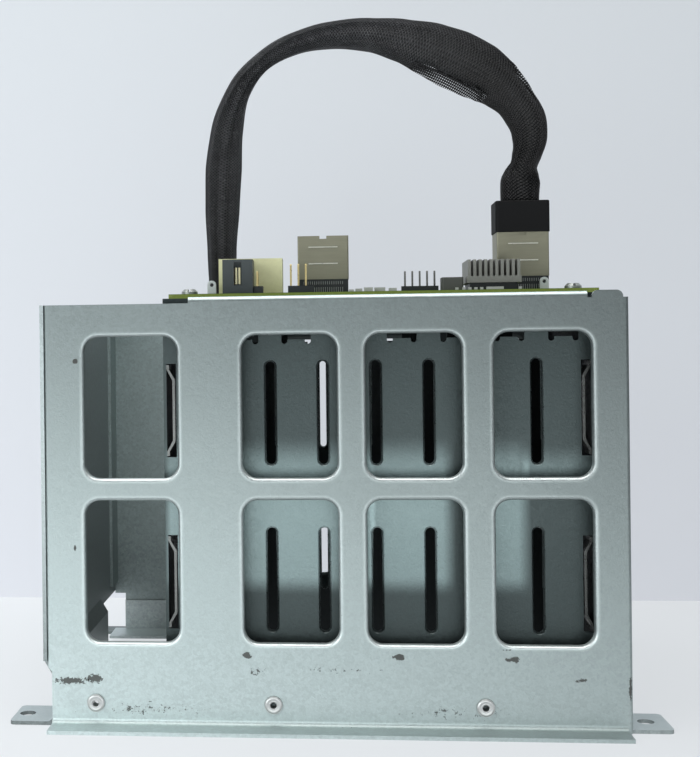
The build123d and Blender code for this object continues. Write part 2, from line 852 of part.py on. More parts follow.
def plug_insert(x, y, z):
    """The metal insert under the head, hollow where it goes over the tongue."""
    width = data_width - 2 * data_wall - 2 * insert_clear
    depth = data_depth - 2 * data_wall - 2 * insert_clear
    with BuildPart() as insert:
        block(x - width / 2, x + width / 2, y - depth / 2, y + depth / 2, z - insert_depth, z)
        block(
            x - data_tongue_width / 2 - insert_wall,
            x + data_tongue_width / 2 + insert_wall,
            y - data_tongue / 2 - insert_wall,
            y + data_tongue / 2 + insert_wall,
            z - insert_depth,
            z - insert_wall,
            mode=Mode.SUBTRACT,
        )
        for side in (-1, 1):
            middle = x + side * hook_tip_spread / 2
            reach = hook_tip_width / 2 + hook_window_clear
            block(
                middle - reach,
                middle + reach,
                y + depth / 2 - insert_wall,
                y + depth / 2,
                z - latch_arm - hook_window_clear,
                z - latch_arm + hook_tip_height + hook_window_clear,
                mode=Mode.SUBTRACT,
            )
    return insert


def plug_pin(x, y, z):
    """The latch pin, pressed into both lugs."""
    reach = latch_width / 2 + latch_side_clear + latch_ear
    with BuildPart() as pin:
        with BuildSketch(Plane.YZ.offset(x - reach)):
            with Locations((latch_line(y), z + latch_pivot)):
                Circle(latch_pin / 2)
        extrude(amount=2 * reach)
    return pin


def plug_latch(x, y, z):
    """The rocking latch: a barrel on the pin, a ribbed pad above it, and an arm with two hooks below."""
    pin_y = latch_line(y)
    pin_z = z + latch_pivot
    wall_y = y + data_depth / 2
    blade = (pin_y - latch_sheet / 2, pin_y + latch_sheet / 2)
    with BuildPart() as latch:
        with BuildSketch(Plane.YZ.offset(x - latch_width / 2)):
            with Locations((pin_y, pin_z)):
                Circle(latch_barrel)
        extrude(amount=latch_width)
        block(
            x - latch_width / 2,
            x + latch_width / 2,
            *blade,
            z - latch_arm,
            z + latch_pivot + latch_pad_height,
        )
        for share in latch_bar_shares:
            top = z + latch_pivot + share * latch_pad_height
            block(
                x - latch_width / 2,
                x + latch_width / 2,
                blade[1],
                blade[1] + latch_pad_bar,
                top - latch_pad_bar,
                top,
            )
        for side in (-1, 1):
            middle = x + side * hook_tip_spread / 2
            block(
                middle - hook_tip_width / 2,
                middle + hook_tip_width / 2,
                wall_y - data_wall + hook_tip_sink / 2,
                blade[0],
                z - latch_arm,
                z - latch_arm + hook_tip_height,
            )
        with BuildSketch(Plane.YZ.offset(x - latch_width / 2)):
            with Locations((pin_y, pin_z)):
                Circle(latch_pin / 2 + latch_running)
        extrude(amount=latch_width, mode=Mode.SUBTRACT)
    return latch


plug_y = near_y + data_setback + data_depth / 2
plug_z = data_top + plug_seat
spare_plug_x = bay_left + spare_plug_margin
spare_y = near_y + spare_plug_setback
spare_z = rail_height + insert_depth
plugs = (("", data_centres[1], plug_y, plug_z), ("spare_", spare_plug_x, spare_y, spare_z))
for prefix, x, y, z in plugs:
    head_n = plug_head(x, y, z)
    head_n.part.label = prefix + "plug_head"
    export_step(head_n.part, f"parts/{prefix}plug_head.step")
    insert_n = plug_insert(x, y, z)
    insert_n.part.label = prefix + "plug_insert"
    export_step(insert_n.part, f"parts/{prefix}plug_insert.step")
    pin_n = plug_pin(x, y, z)
    pin_n.part.label = prefix + "plug_pin"
    export_step(pin_n.part, f"parts/{prefix}plug_pin.step")
    latch_n = plug_latch(x, y, z)
    latch_n.part.label = prefix + "plug_latch"
    export_step(latch_n.part, f"parts/{prefix}plug_latch.step")


def open_header(left, setback, size):
    """A power header's housing: an open box with a thick floor and a key slot in its near wall."""
    width, depth, height = size
    y0 = near_y + setback
    with BuildPart() as housing:
        block(left, left + width, y0, y0 + depth, board_top, board_top + height)
        block(
            left + header_wall,
            left + width - header_wall,
            y0 + header_wall,
            y0 + depth - header_wall,
            board_top + header_floor,
            board_top + height,
            mode=Mode.SUBTRACT,
        )
    return housing


black_header_left = board_left + black_header_margin
ivory_header_left = board_left + ivory_header_margin


# Black power header, whose key slot shows its pins to the viewer.
with BuildPart(mode=Mode.ADD) as black_power_header:
    add(open_header(black_header_left, black_header_setback, black_header).part)
    key_x = black_header_left + black_header[0] / 2
    block(
        key_x - header_slot_width / 2,
        key_x + header_slot_width / 2,
        near_y + black_header_setback - header_wall,
        near_y + black_header_setback + header_wall,
        board_top + header_slot_foot,
        board_top + black_header[2] - header_wall,
        mode=Mode.SUBTRACT,
    )
black_power_header.part.label = "black_power_header"
export_step(black_power_header.part, "parts/black_power_header.step")

# Ivory power header behind it.
ivory_power_header = open_header(ivory_header_left, ivory_header_setback, ivory_header)
ivory_power_header.part.label = "ivory_power_header"
export_step(ivory_power_header.part, "parts/ivory_power_header.step")

# Square power pins that stand on the floors of both housings.
with BuildPart() as power_pins:
    black_middle = (
        black_header_left + black_header[0] / 2,
        near_y + black_header_setback + black_header[1] / 2,
    )
    ivory_middle = (
        ivory_header_left + ivory_header[0] / 2,
        near_y + ivory_header_setback + ivory_header[1] / 2,
    )
    for middle, columns in ((black_middle, 2), (ivory_middle, ivory_column_count)):
        with BuildSketch(Plane.XY.offset(board_top + header_floor)):
            with Locations(middle):
                with GridLocations(power_pitch, power_pitch, columns, 2):
                    Rectangle(power_pin, power_pin)
        extrude(amount=power_pin_height - header_floor)
power_pins.part.label = "power_pins"
export_step(power_pins.part, "parts/power_pins.step")


def pin_row(left, setback, count, rows, end, extra, height):
    """The base and the pins of a pin header, as two parts: the pins stand on the base."""
    middle_y = near_y + setback + rows * pin_base_depth / 2
    x1 = left + (count - 1) * pin_pitch + end + extra
    half = rows * pin_base_depth / 2
    with BuildPart() as base:
        block(left - end, x1, middle_y - half, middle_y + half, board_top, board_top + pin_base_height)
    with BuildPart() as pins:
        with BuildSketch(Plane.XY.offset(board_top + pin_base_height)):
            with Locations((left + (count - 1) * pin_pitch / 2, middle_y)):
                with GridLocations(pin_pitch, pin_pitch, count, rows):
                    Rectangle(pin_size, pin_size)
        extrude(amount=height - pin_base_height)
        chamfer(pins.faces().group_by(Axis.Z)[-1].edges(), length=pin_size / 4)
    return base, pins


# Pin headers: three pins for a fan, a row of five, and a pair for a jumper.
jumper_left = board_left + jumper_margin
fan_pins_left = board_left + fan_pins_margin
long_pins_left = board_right - long_pins_margin
pin_headers = (
    ("fan", fan_pins_left, fan_pins_setback, fan_pin_count, 1, fan_base_end, fan_base_extra, fan_pin_height),
    ("long", long_pins_left, long_pins_setback, long_pin_count, 1, pin_pitch / 2, 0, long_pin_height),
    ("jumper", jumper_left, jumper_setback, 1, jumper_row_count, pin_pitch / 2, pin_size, jumper_pin_height),
)
for name, left, setback, count, rows, end, extra, height in pin_headers:
    base_n, pins_n = pin_row(left, setback, count, rows, end, extra, height)
    base_n.part.label = name + "_header_base"
    export_step(base_n.part, f"parts/{name}_header_base.step")
    pins_n.part.label = name + "_header_pins"
    export_step(pins_n.part, f"parts/{name}_header_pins.step")


# Expander chip and its finned heat sink.
sink_left = board_right - sink_margin
sink_y = near_y + sink_setback
with BuildPart() as expander_chip:
    block(
        sink_left + chip_inset,
        sink_left + sink_width - chip_inset,
        sink_y + chip_inset,
        sink_y + sink_depth - chip_inset,
        board_top,
        board_top + sink_foot,
    )
expander_chip.part.label = "expander_chip"
export_step(expander_chip.part, "parts/expander_chip.step")

fin_pitch = sink_width / fin_count
sink_z = board_top + sink_foot
with BuildPart() as heat_sink:
    block(sink_left, sink_left + sink_width, sink_y, sink_y + sink_depth, sink_z, sink_z + sink_base)
    with BuildSketch(Plane.XY.offset(sink_z + sink_base)):
        with Locations((sink_left + sink_width / 2, sink_y + sink_depth / 2)):
            with GridLocations(fin_pitch, sink_depth, fin_count, 1):
                Rectangle(fin_pitch * fin_share, sink_depth)
    extrude(amount=sink_height - sink_base)
heat_sink.part.label = "heat_sink"
export_step(heat_sink.part, "parts/heat_sink.step")

# Power choke beside the heat sink.
choke_left = board_right - choke_margin
with BuildPart() as choke:
    block(
        choke_left,
        choke_left + choke_width,
        near_y + choke_setback,
        near_y + choke_setback + choke_width,
        board_top,
        board_top + choke_height,
    )
    fillet(choke.edges().filter_by(Axis.Z), radius=choke_corner)
choke.part.label = "choke"
export_step(choke.part, "parts/choke.step")

# Board clips: small nylon arches with an eye.
clip_spots = ((board_right - clip_right[0], clip_right[1]), (board_left + clip_left[0], clip_left[1]))
with BuildPart() as board_clips:
    for x, setback in clip_spots:
        with BuildSketch(upright(near_y + setback)):
            with Locations((x, board_top + clip_height - clip_width / 2)):
                Circle(clip_width / 2)
            with Locations((x, board_top + (clip_height - clip_width / 2) / 2)):
                Rectangle(clip_width, clip_height - clip_width / 2)
            with Locations((x, board_top + clip_height - clip_width / 2)):
                Circle(clip_hole / 2, mode=Mode.SUBTRACT)
        extrude(amount=-clip_thick)
board_clips.part.label = "board_clips"
export_step(board_clips.part, "parts/board_clips.step")

# Small surface parts in the middle of the board and along its near edge.
middle_part_columns = [board_left + share * board_width for share in middle_part_shares]
small_parts = list(zip(middle_part_columns, middle_part_setbacks, middle_part_sizes))
for k, margin in enumerate(edge_part_margins):
    size = edge_part_wide if k == edge_wide_place else edge_part_size
    small_parts.append((board_right - margin, edge_part_setback, size))
with BuildPart() as surface_parts:
    for x, setback, (width, depth, height) in small_parts:
        y0 = near_y + setback
        block(x - width / 2, x + width / 2, y0, y0 + depth, board_top, board_top + height)
surface_parts.part.label = "surface_parts"
export_step(surface_parts.part, "parts/surface_parts.step")


# Data cable in its braided sleeve. It leaves the plug, leans right, arches over the board and goes down
# behind the bay box to the spare plug. The points are those of its real route, from plug to plug.
cable_route = [
    (data_centres[1], plug_y, plug_z + plug_height),
    (data_centres[1], plug_y, plug_z + plug_height + cable_straight),
    (69.7, -6.7, 184.8),
    (71.8, -5.8, 191.6),
    (71.7, -4.2, 198.4),
    (69.4, -1.6, 204.8),
    (65.9, 1.8, 210.6),
    (61.5, 5.6, 216.0),
    (54.9, 9.1, 221.6),
    (46.0, 12.9, 227.4),
    (34.6, 16.9, 233.6),
    (20.8, 20.8, 238.4),
    (6.4, 24.8, 240.6),
    (-8.4, 29.3, 240.0),
    (-22.4, 33.7, 235.4),
    (-33.2, 37.6, 226.0),
    (-39.0, 40.8, 212.0),
    (-41.0, 42.6, 196.4),
    (-41.8, 43.3, 179.4),
    (-42.4, 43.5, 160.0),
    (-41.9, 43.2, 138.0),
    (-42.6, 42.6, 116.0),
    (-41.8, 42.3, 94.0),
    (-42.3, 42.8, 73.0),
    (spare_plug_x, spare_y, spare_z + plug_height + 2 * cable_straight),
    (spare_plug_x, spare_y, spare_z + plug_height),
]


def arc_radii(points):
    """The radius of the arc at each corner of the route, 0.45 of its shorter run."""
    places = [Vector(*p) for p in points]
    radii = []
    for before, at, after in zip(places, places[1:], places[2:]):
        half_turn = math.radians((at - before).get_angle(after - at)) / 2
        shorter = min((at - before).length, (after - at).length)
        radii.append(0.45 * shorter / math.tan(half_turn))
    return radii


radii = arc_radii(cable_route)
with BuildPart() as data_cable:
    with BuildLine() as cable_line:
        FilletPolyline(*cable_route, radius=radii)
    first_run = Vector(*cable_route[1]) - Vector(*cable_route[0])
    with BuildSketch(Plane(origin=cable_route[0], z_dir=first_run)):
        Circle(cable_thick / 2)
    sweep(path=cable_line.line)
data_cable.part.label = "data_cable"
export_step(data_cable.part, "parts/data_cable.step")

cable_length = sum(edge.length for edge in cable_line.edges())
expected = math.pi * cable_thick**2 / 4 * cable_length
print("cable radii", [round(r, 1) for r in radii])
print("cable length", round(cable_length, 1), "volume share", round(data_cable.part.volume / expected, 4))
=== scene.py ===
import math

import bmesh
import bpy
from mathutils import Matrix, Vector


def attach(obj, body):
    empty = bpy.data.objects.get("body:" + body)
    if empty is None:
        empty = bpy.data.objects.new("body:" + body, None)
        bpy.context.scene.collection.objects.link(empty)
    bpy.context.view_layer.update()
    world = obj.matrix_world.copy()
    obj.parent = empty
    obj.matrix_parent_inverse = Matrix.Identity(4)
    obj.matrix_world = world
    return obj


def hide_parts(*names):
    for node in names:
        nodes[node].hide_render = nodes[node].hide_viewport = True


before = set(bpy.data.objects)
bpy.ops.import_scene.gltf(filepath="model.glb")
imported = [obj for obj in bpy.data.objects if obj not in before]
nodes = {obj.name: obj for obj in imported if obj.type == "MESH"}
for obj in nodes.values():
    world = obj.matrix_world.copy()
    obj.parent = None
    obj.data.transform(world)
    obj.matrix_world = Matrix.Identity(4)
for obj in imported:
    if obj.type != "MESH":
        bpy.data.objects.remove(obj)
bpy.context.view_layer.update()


# The view. The camera stands low in front of the cage, a little left of its middle, and looks a few
# degrees further left, so the cage sits right of the lens axis. Its picture leans by under a degree.
def new_object(name, data):
    """An object with this data, put into the scene."""
    made = bpy.data.objects.new(name, data)
    bpy.context.scene.collection.objects.link(made)
    return made


# The picture's size, the focal length and the lens axis are in pixels of the photograph.
picture_width = 700
picture_height = 757
focal_pixels = 1260
axis_column = 210.2
axis_row = 356.3
film_width = 36.0
camera_place = (-0.00245, -0.462, 0.1172)
turn = math.radians(5.1)
lean = 0.0115

right = Vector((math.cos(turn), math.sin(turn), 0))
up = Vector((0, 0, 1))
picture_right = math.cos(lean) * right - math.sin(lean) * up
picture_up = math.sin(lean) * right + math.cos(lean) * up
camera_data = bpy.data.cameras.new("camera")
camera = new_object("camera", camera_data)
axes = Matrix((picture_right, picture_up, picture_right.cross(picture_up))).transposed()
camera.matrix_world = Matrix.Translation(camera_place) @ axes.to_4x4()
camera_data.sensor_fit = "HORIZONTAL"
camera_data.sensor_width = film_width
camera_data.lens = film_width * focal_pixels / picture_width
camera_data.shift_x = (picture_width / 2 - axis_column) / picture_width
camera_data.shift_y = -(picture_height / 2 - axis_row) / picture_width
bpy.context.scene.camera = camera
bpy.context.scene.view_settings.view_transform = "Standard"


# Data cable: many fine wires in a flat braided sleeve, moulded into a plug at each end. It folds over
# itself above the plug, arches over the board as a broad band, and goes down behind the bays.
def cable_line(points):
    """The cable's own middle line, as points read from its spline."""
    curve = bpy.data.curves.new("cable_line", "CURVE")
    curve.dimensions = "3D"
    curve.resolution_u = 12
    spline = curve.splines.new("NURBS")
    spline.points.add(len(points) - 1)
    for target, (x, y, z) in zip(spline.points, points):
        target.co = (x / 1000, y / 1000, z / 1000, 1)
    spline.order_u = 3
    spline.use_endpoint_u = True
    holder = new_object("cable_line", curve)
    bpy.context.view_layer.update()
    graph = bpy.context.evaluated_depsgraph_get()
    mesh = bpy.data.meshes.new_from_object(holder.evaluated_get(graph))
    line = [v.co.copy() for v in mesh.vertices]
    bpy.data.objects.remove(holder)
    bpy.data.meshes.remove(mesh)
    return line


def spaced(line, step):
    """The same line with points an even step apart, and its length."""
    lengths = [0.0]
    for a, b in zip(line, line[1:]):
        lengths.append(lengths[-1] + (b - a).length)
    count = round(lengths[-1] / step)
    even = []
    k = 0
    for i in range(count + 1):
        s = lengths[-1] * i / count
        while k < len(lengths) - 2 and lengths[k + 1] < s:
            k += 1
        share = (s - lengths[k]) / max(lengths[k + 1] - lengths[k], 1e-9)
        even.append(line[k].lerp(line[k + 1], min(share, 1.0)))
    return even, lengths[-1]


def from_table(table, s):
    """Each value of a table of rows (distance, value, value...), eased between its rows."""
    if s <= table[0][0]:
        return table[0][1:]
    for low, high in zip(table, table[1:]):
        if s <= high[0]:
            t = (s - low[0]) / (high[0] - low[0])
            t = t * t * (3 - 2 * t) * 0.5 + t * 0.5
            return [a + (b - a) * t for a, b in zip(low[1:], high[1:])]
    return table[-1][1:]


def held(share):
    """A share held between none and all."""
    return max(0.0, min(1.0, share))


def piece_from(shape, name):
    """A new object from a finished shape, with its faces turned outward."""
    bmesh.ops.recalc_face_normals(shape, faces=shape.faces)
    mesh = bpy.data.meshes.new(name)
    shape.to_mesh(mesh)
    shape.free()
    return new_object(name, mesh)


cable_route = [
    (67.8, -7.0, 170.6),
    (67.8, -7.0, 178.6),
    (69.7, -6.7, 184.8),
    (71.8, -5.8, 191.6),
    (71.7, -4.2, 198.4),
    (69.4, -1.6, 204.8),
    (65.9, 1.8, 210.6),
    (61.5, 5.6, 216.0),
    (54.9, 9.1, 221.6),
    (46.0, 12.9, 227.4),
    (34.6, 16.9, 233.6),
    (20.8, 20.8, 238.4),
    (6.4, 24.8, 240.6),
    (-8.4, 29.3, 240.0),
    (-22.4, 33.7, 235.4),
    (-33.2, 37.6, 226.0),
    (-39.0, 40.8, 212.0),
    (-41.0, 42.6, 196.4),
    (-41.8, 43.3, 179.4),
    (-42.4, 43.5, 160.0),
    (-41.9, 43.2, 138.0),
    (-42.6, 42.6, 116.0),
    (-41.8, 42.3, 94.0),
    (-42.3, 42.8, 73.0),
    (-41.4, 43.0, 53.3),
    (-41.4, 43.0, 37.3),
]
sleeve_step = 0.0012
cable_points, cable_length = spaced(cable_line(cable_route), sleeve_step)

# Along the sleeve, in millimetres from the plug: its breadth, its thickness, how far the breadth turns
# away from the picture, in degrees, and how much of its lower and of its upper edge is empty net.
sleeve_shape = [
    (0, 13.5, 6.0, 0, 0, 0),
    (7, 13.9, 5.6, 4, 0, 0),
    (10.5, 12.4, 5.0, 34, 0, 0),
    (13.5, 9.4, 5.0, 30, 0, 0),
    (18, 10.4, 4.6, 8, 0, 0),
    (24, 12.6, 4.4, 0, 0, 0),
    (32, 14.4, 4.4, 0, 0, 0),
    (38, 14.6, 4.6, 0, 0, 0.8),
    (46, 17.4, 4.6, 0, 0.4, 1.0),
    (52, 20.0, 4.4, 0, 1.0, 0.7),
    (60, 22.4, 4.2, 0, 1.0, 0),
    (70, 22.9, 4.2, 0, 1.0, 0),
    (80, 20.8, 4.4, 0, 0.8, 0),
    (92, 16.4, 5.0, 0, 0, 0),
    (104, 12.8, 6.0, 4, 0, 0),
    (120, 10.4, 6.4, 14, 0, 0),
    (134, 8.6, 6.4, 20, 0, 0),
    (150, 7.4, 6.4, 30, 0, 0),
    (164, 9.4, 6.2, 20, 0, 0),
    (180, 12.8, 5.6, 5, 0, 0),
    (196, 14.6, 5.0, 0, 0, 0),
    (212, 13.8, 5.2, 0, 0, 0),
    (228, 11.8, 5.6, 0, 0, 0),
    (250, 10.6, 6.0, 0, 0, 0),
    (330, 12.0, 6.0, 0, 0, 0),
    (360, 13.4, 6.0, 0, 0, 0),
]
# The section is a flat ring. Its face shows the bundles and wires within, and empty net lies thin.
sleeve_ring = 56
side_roundness = 0.8
face_roundness = 0.75
low_net_from, low_net_run = 0.42, 0.2
high_net_from, high_net_run = 0.66, 0.14
empty_net_thins = 0.86
folds_from, folds_run = 150, 30
bundles, bundle_relief, fold_relief, bundle_drift = 9, 0.10, 0.12, 0.011
wires, wire_relief, wire_shift, wire_drift = 21, 0.08, 1.3, 0.017
net = bmesh.new()
along_key = net.loops.layers.uv.new("UVMap")
edge_key = net.verts.layers.float.new("open_net")
across_key = net.verts.layers.float.new("across")
rings = []
step = cable_length / (len(cable_points) - 1)
for i, point in enumerate(cable_points):
    before = cable_points[max(i - 2, 0)]
    after = cable_points[min(i + 2, len(cable_points) - 1)]
    tangent = (after - before).normalized()
    if i < 3:
        tangent = Vector((0, 0, 1))
    side = tangent.cross(Vector((math.sin(turn), -math.cos(turn), 0))).normalized()
    face = side.cross(tangent).normalized()
    run = i * step * 1000
    breadth, thick, twist, empty_low, empty_high = from_table(sleeve_shape, run)
    spin = math.radians(twist)
    across = side * math.cos(spin) + face * math.sin(spin)
    through = face * math.cos(spin) - side * math.sin(spin)
    relief = bundle_relief + fold_relief * held((run - folds_from) / folds_run)
    ring = []
    for k in range(sleeve_ring):
        angle = 2 * math.pi * k / sleeve_ring
        c = math.cos(angle)
        s = math.sin(angle)
        w = math.copysign(abs(c) ** side_roundness, c)
        slack = empty_low * held((-w - low_net_from) / low_net_run)
        slack = max(slack, empty_high * held((w - high_net_from) / high_net_run))
        swell = 1 + relief * math.sin(w * bundles + i * bundle_drift)
        swell += wire_relief * math.sin(w * wires + wire_shift - i * wire_drift)
        h = math.copysign(abs(s) ** face_roundness, s) * swell * (1 - empty_net_thins * slack)
        place = point + across * (w * breadth / 2000) + through * (h * thick / 2000)
        vertex = net.verts.new(place)
        vertex[edge_key] = slack
        vertex[across_key] = w * breadth / 2
        ring.append(vertex)
    rings.append(ring)
for i, (low, high) in enumerate(zip(rings, rings[1:])):
    for k in range(sleeve_ring):
        m = (k + 1) % sleeve_ring
        quad = net.faces.new((low[k], low[m], high[m], high[k]))
        quad.smooth = True
        corners = ((k, i), (k + 1, i), (k + 1, i + 1), (k, i + 1))
        for loop, (u, v) in zip(quad.loops, corners):
            loop[along_key].uv = (u / sleeve_ring, v * step * 1000)
net.faces.new(list(reversed(rings[0])))
net.faces.new(rings[-1])
sleeve = piece_from(net, "cable_sleeve")


def shader(name):
    """A new material with its node tree emptied down to a Principled shader and its output."""
    material = bpy.data.materials.new(name)
    material.use_nodes = True
    tree = material.node_tree
    tree.nodes.clear()
    output = tree.nodes.new("ShaderNodeOutputMaterial")
    gloss = tree.nodes.new("ShaderNodeBsdfPrincipled")
    tree.links.new(gloss.outputs["BSDF"], output.inputs["Surface"])
    return material, tree, gloss


def node(tree, kind, links=(), **values):
    """A node of one kind, with its settings, its socket values and the links into it."""
    made = tree.nodes.new(kind)
    for key, value in values.items():
        if key.startswith("in_"):
            made.inputs[int(key[3:])].default_value = value
        else:
            setattr(made, key, value)
    for index, source in links:
        tree.links.new(source, made.inputs[index])
    return made


def math_node(tree, operation, *sources):
    """A Math node whose inputs are numbers or other nodes' outputs."""
    made = tree.nodes.new("ShaderNodeMath")
    made.operation = operation
    for index, source in enumerate(sources):
        if isinstance(source, (int, float)):
            made.inputs[index].default_value = source
        else:
            tree.links.new(source, made.inputs[index])
    return made.outputs[0]


def raised(tree, base, value, gain):
    """A base plus a value times a gain."""
    return math_node(tree, "ADD", base, math_node(tree, "MULTIPLY", value, gain))


def ramp(tree, source, start, end, first=0.0, last=1.0, ease="LINEAR"):
    """A value that goes from first to last while its source goes from start to end."""
    made = node(tree, "ShaderNodeMapRange", [(0, source)], interpolation_type=ease)
    for index, value in enumerate((start, end, first, last), start=1):
        made.inputs[index].default_value = value
    return made.outputs[0]


def noise(tree, place, scale, detail, roughness=0.5):
    """A random value that changes softly from place to place."""
    settings = dict(in_2=scale, in_3=detail, in_4=roughness)
    return node(tree, "ShaderNodeTexNoise", [(0, place)], **settings).outputs[0]


def own_place(tree):
    """Where a point is, in the shared frame."""
    return node(tree, "ShaderNodeTexCoord").outputs["Object"]


def split(tree, vector):
    """A vector's X, Y and Z."""
    return node(tree, "ShaderNodeSeparateXYZ", [(0, vector)]).outputs[:]


def blend_colour(tree, mask, first, second, how="MIX"):
    """A colour mixed from two, which are colours or other nodes' outputs, by a mask."""
    made = tree.nodes.new("ShaderNodeMix")
    made.data_type = "RGBA"
    made.blend_type = how
    for index, source in ((0, mask), (6, first), (7, second)):
        if isinstance(source, (int, float)):
            made.inputs[index].default_value = source
        elif isinstance(source, (tuple, list)):
            made.inputs[index].default_value = (*source[:3], 1)
        else:
            tree.links.new(source, made.inputs[index])
    return made.outputs[2]


def toned(tree, colour, tone):
    """A colour made lighter or darker by one tone."""
    grey = node(tree, "ShaderNodeCombineColor", [(0, tone), (1, tone), (2, tone)])
    return blend_colour(tree, 1.0, colour, grey.outputs[0], "MULTIPLY")


def bumped(tree, gloss, height, strength, distance):
    """Feeds a height into the shader's normal."""
    bump = node(tree, "ShaderNodeBump", in_0=strength, in_1=distance)
    tree.links.new(height, bump.inputs["Height"])
    tree.links.new(bump.outputs["Normal"], gloss.inputs["Normal"])


# Braid of the sleeve: flat black strands that cross in a herringbone, with painted highlights on their
# crowns and painted shade between them, and with the gaps between them open where the net is empty. It is
# painted darker near the plug, a painted shadow over the sleeve there.
strands_round = 30.0
strands_per_mm = 0.86
gap_rate = 3.4
plug_shadow_from, plug_shadow_to = 55.0, 105.0

braid, tree, gloss = shader("braided_sleeve")
round_share, along_mm = split(tree, node(tree, "ShaderNodeUVMap", uv_map="UVMap").outputs[0])[:2]
ring_turn = math_node(tree, "MULTIPLY", round_share, strands_round)
run = math_node(tree, "MULTIPLY", along_mm, strands_per_mm)
waves = []
for way in ("ADD", "SUBTRACT"):
    phase = math_node(tree, "MULTIPLY", math_node(tree, way, run, ring_turn), math.pi)
    waves.append(math_node(tree, "ABSOLUTE", math_node(tree, "SINE", phase)))
crown = math_node(tree, "MAXIMUM", *waves)
strand_height = raised(tree, math_node(tree, "MULTIPLY", *waves), crown, 0.6)
place = own_place(tree)
fray = noise(tree, place, 900.0, 3.0)
fine = noise(tree, place, 160.0, 2.0)
# Painted shade and painted highlights of the strands: darker in the valleys between them, lighter on their
# crowns, with glints.
dark = blend_colour(tree, strand_height, (0.0018, 0.0018, 0.0022), (0.012, 0.012, 0.0135))
crown_highlight = math_node(tree, "MULTIPLY", fine, math_node(tree, "POWER", crown, 6.0))
glint = math_node(tree, "MULTIPLY", ramp(tree, fray, 0.50, 0.72), crown)
crown_highlight = math_node(tree, "MAXIMUM", crown_highlight, glint)
colour = blend_colour(tree, math_node(tree, "MULTIPLY", crown_highlight, 0.8), dark, (0.075, 0.075, 0.078))
# Painted shadow: the sleeve is darker near the plug and grows lighter further along.
colour = toned(tree, colour, ramp(tree, along_mm, plug_shadow_from, plug_shadow_to, 0.35, 1.7))
tree.links.new(colour, gloss.inputs["Base Color"])
gloss.inputs["Specular IOR Level"].default_value = 0.26
tree.links.new(raised(tree, 0.34, fray, 0.22), gloss.inputs["Roughness"])
bumped(tree, gloss, strand_height, 0.9, 0.0004)
open_net = node(tree, "ShaderNodeAttribute", attribute_name="open_net").outputs[2]
across_mm = node(tree, "ShaderNodeAttribute", attribute_name="across").outputs[2]
gaps = []
for way in ("ADD", "SUBTRACT"):
    phase = math_node(tree, "MULTIPLY", math_node(tree, way, along_mm, across_mm), gap_rate)
    gaps.append(math_node(tree, "SINE", phase))
hole = math_node(tree, "GREATER_THAN", math_node(tree, "MULTIPLY", *gaps), 0.30)
empty = math_node(tree, "GREATER_THAN", open_net, raised(tree, 0.25, fine, 0.6))
hole = math_node(tree, "MULTIPLY", hole, empty)
tree.links.new(math_node(tree, "SUBTRACT", 1.0, hole), gloss.inputs["Alpha"])
sleeve.data.materials.append(braid)
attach(sleeve, "cage")
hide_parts("data_cable")


# Table and wall of the studio: a white table whose far edge meets a pale, slightly blue wall just behind
# the cage. A wide lamp hangs over the cage, a second fills in from the near left.
def plate_between(name, corners):
    """A flat four-sided sheet through four corners."""
    mesh = bpy.data.meshes.new(name)
    mesh.from_pydata([Vector(c) for c in corners], [], [(0, 1, 2, 3)])
    return new_object(name, mesh)


def pale_stage(name, first, last, axis, start, end):
    """A pale matt surface that shows its own plain colour to the camera and to gloss, but keeps shadows.
    The colour changes from first to last along one axis, and is painted darker towards the right as painted
    shade. From behind the surface is clear."""
    material, tree, gloss = shader(name)
    place = own_place(tree)
    places = split(tree, place)
    tone = blend_colour(tree, ramp(tree, places[axis], start, end), first, last)
    # Painted shade: table and wall are painted darker towards the right.
    tone = toned(tree, tone, ramp(tree, places[0], -0.16, 0.20, 1.03, 0.88))
    cloud = math_node(tree, "MULTIPLY", noise(tree, place, 6.0, 2.0), 0.06)
    tone = blend_colour(tree, cloud, tone, (0.72, 0.76, 0.80))
    tree.links.new(tone, gloss.inputs["Base Color"])
    gloss.inputs["Roughness"].default_value = 0.85
    glow = node(tree, "ShaderNodeEmission", [(0, tone)], in_1=0.98)
    path = node(tree, "ShaderNodeLightPath")
    seen = math_node(tree, "MAXIMUM", path.outputs["Is Camera Ray"], path.outputs["Is Glossy Ray"])
    seen = math_node(tree, "MAXIMUM", seen, path.outputs["Is Transmission Ray"])
    seen = math_node(tree, "MULTIPLY", seen, 0.72)
    mixed = node(tree, "ShaderNodeMixShader", [(0, seen), (1, gloss.outputs[0]), (2, glow.outputs[0])])
    clear = node(tree, "ShaderNodeBsdfTransparent")
    behind = node(tree, "ShaderNodeNewGeometry").outputs["Backfacing"]
    sides = [(0, behind), (1, mixed.outputs[0]), (2, clear.outputs[0])]
    one_way = node(tree, "ShaderNodeMixShader", sides)
    tree.links.new(one_way.outputs[0], tree.nodes["Material Output"].inputs["Surface"])
    return material


stage_left, stage_right = -2.2, 2.2
table_front = -2.6
wall_y = 0.146
wall_foot, wall_head = -0.3, 2.6
table_corners = (
    (stage_left, table_front, 0),
    (stage_right, table_front, 0),
    (stage_right, wall_y, 0),
    (stage_left, wall_y, 0),
)
table = plate_between("table", table_corners)
table_white = pale_stage("table_white", (0.84, 0.87, 0.90), (0.87, 0.90, 0.93), 1, -0.3, wall_y)
table.data.materials.append(table_white)
wall_corners = (
    (stage_left, wall_y, wall_foot),
    (stage_right, wall_y, wall_foot),
    (stage_right, wall_y, wall_head),
    (stage_left, wall_y, wall_head),
)
wall = plate_between("wall", wall_corners)
wall_pale = pale_stage("wall_pale", (0.78, 0.81, 0.87), (0.745, 0.79, 0.83), 2, 0.0, 0.32)
wall.data.materials.append(wall_pale)


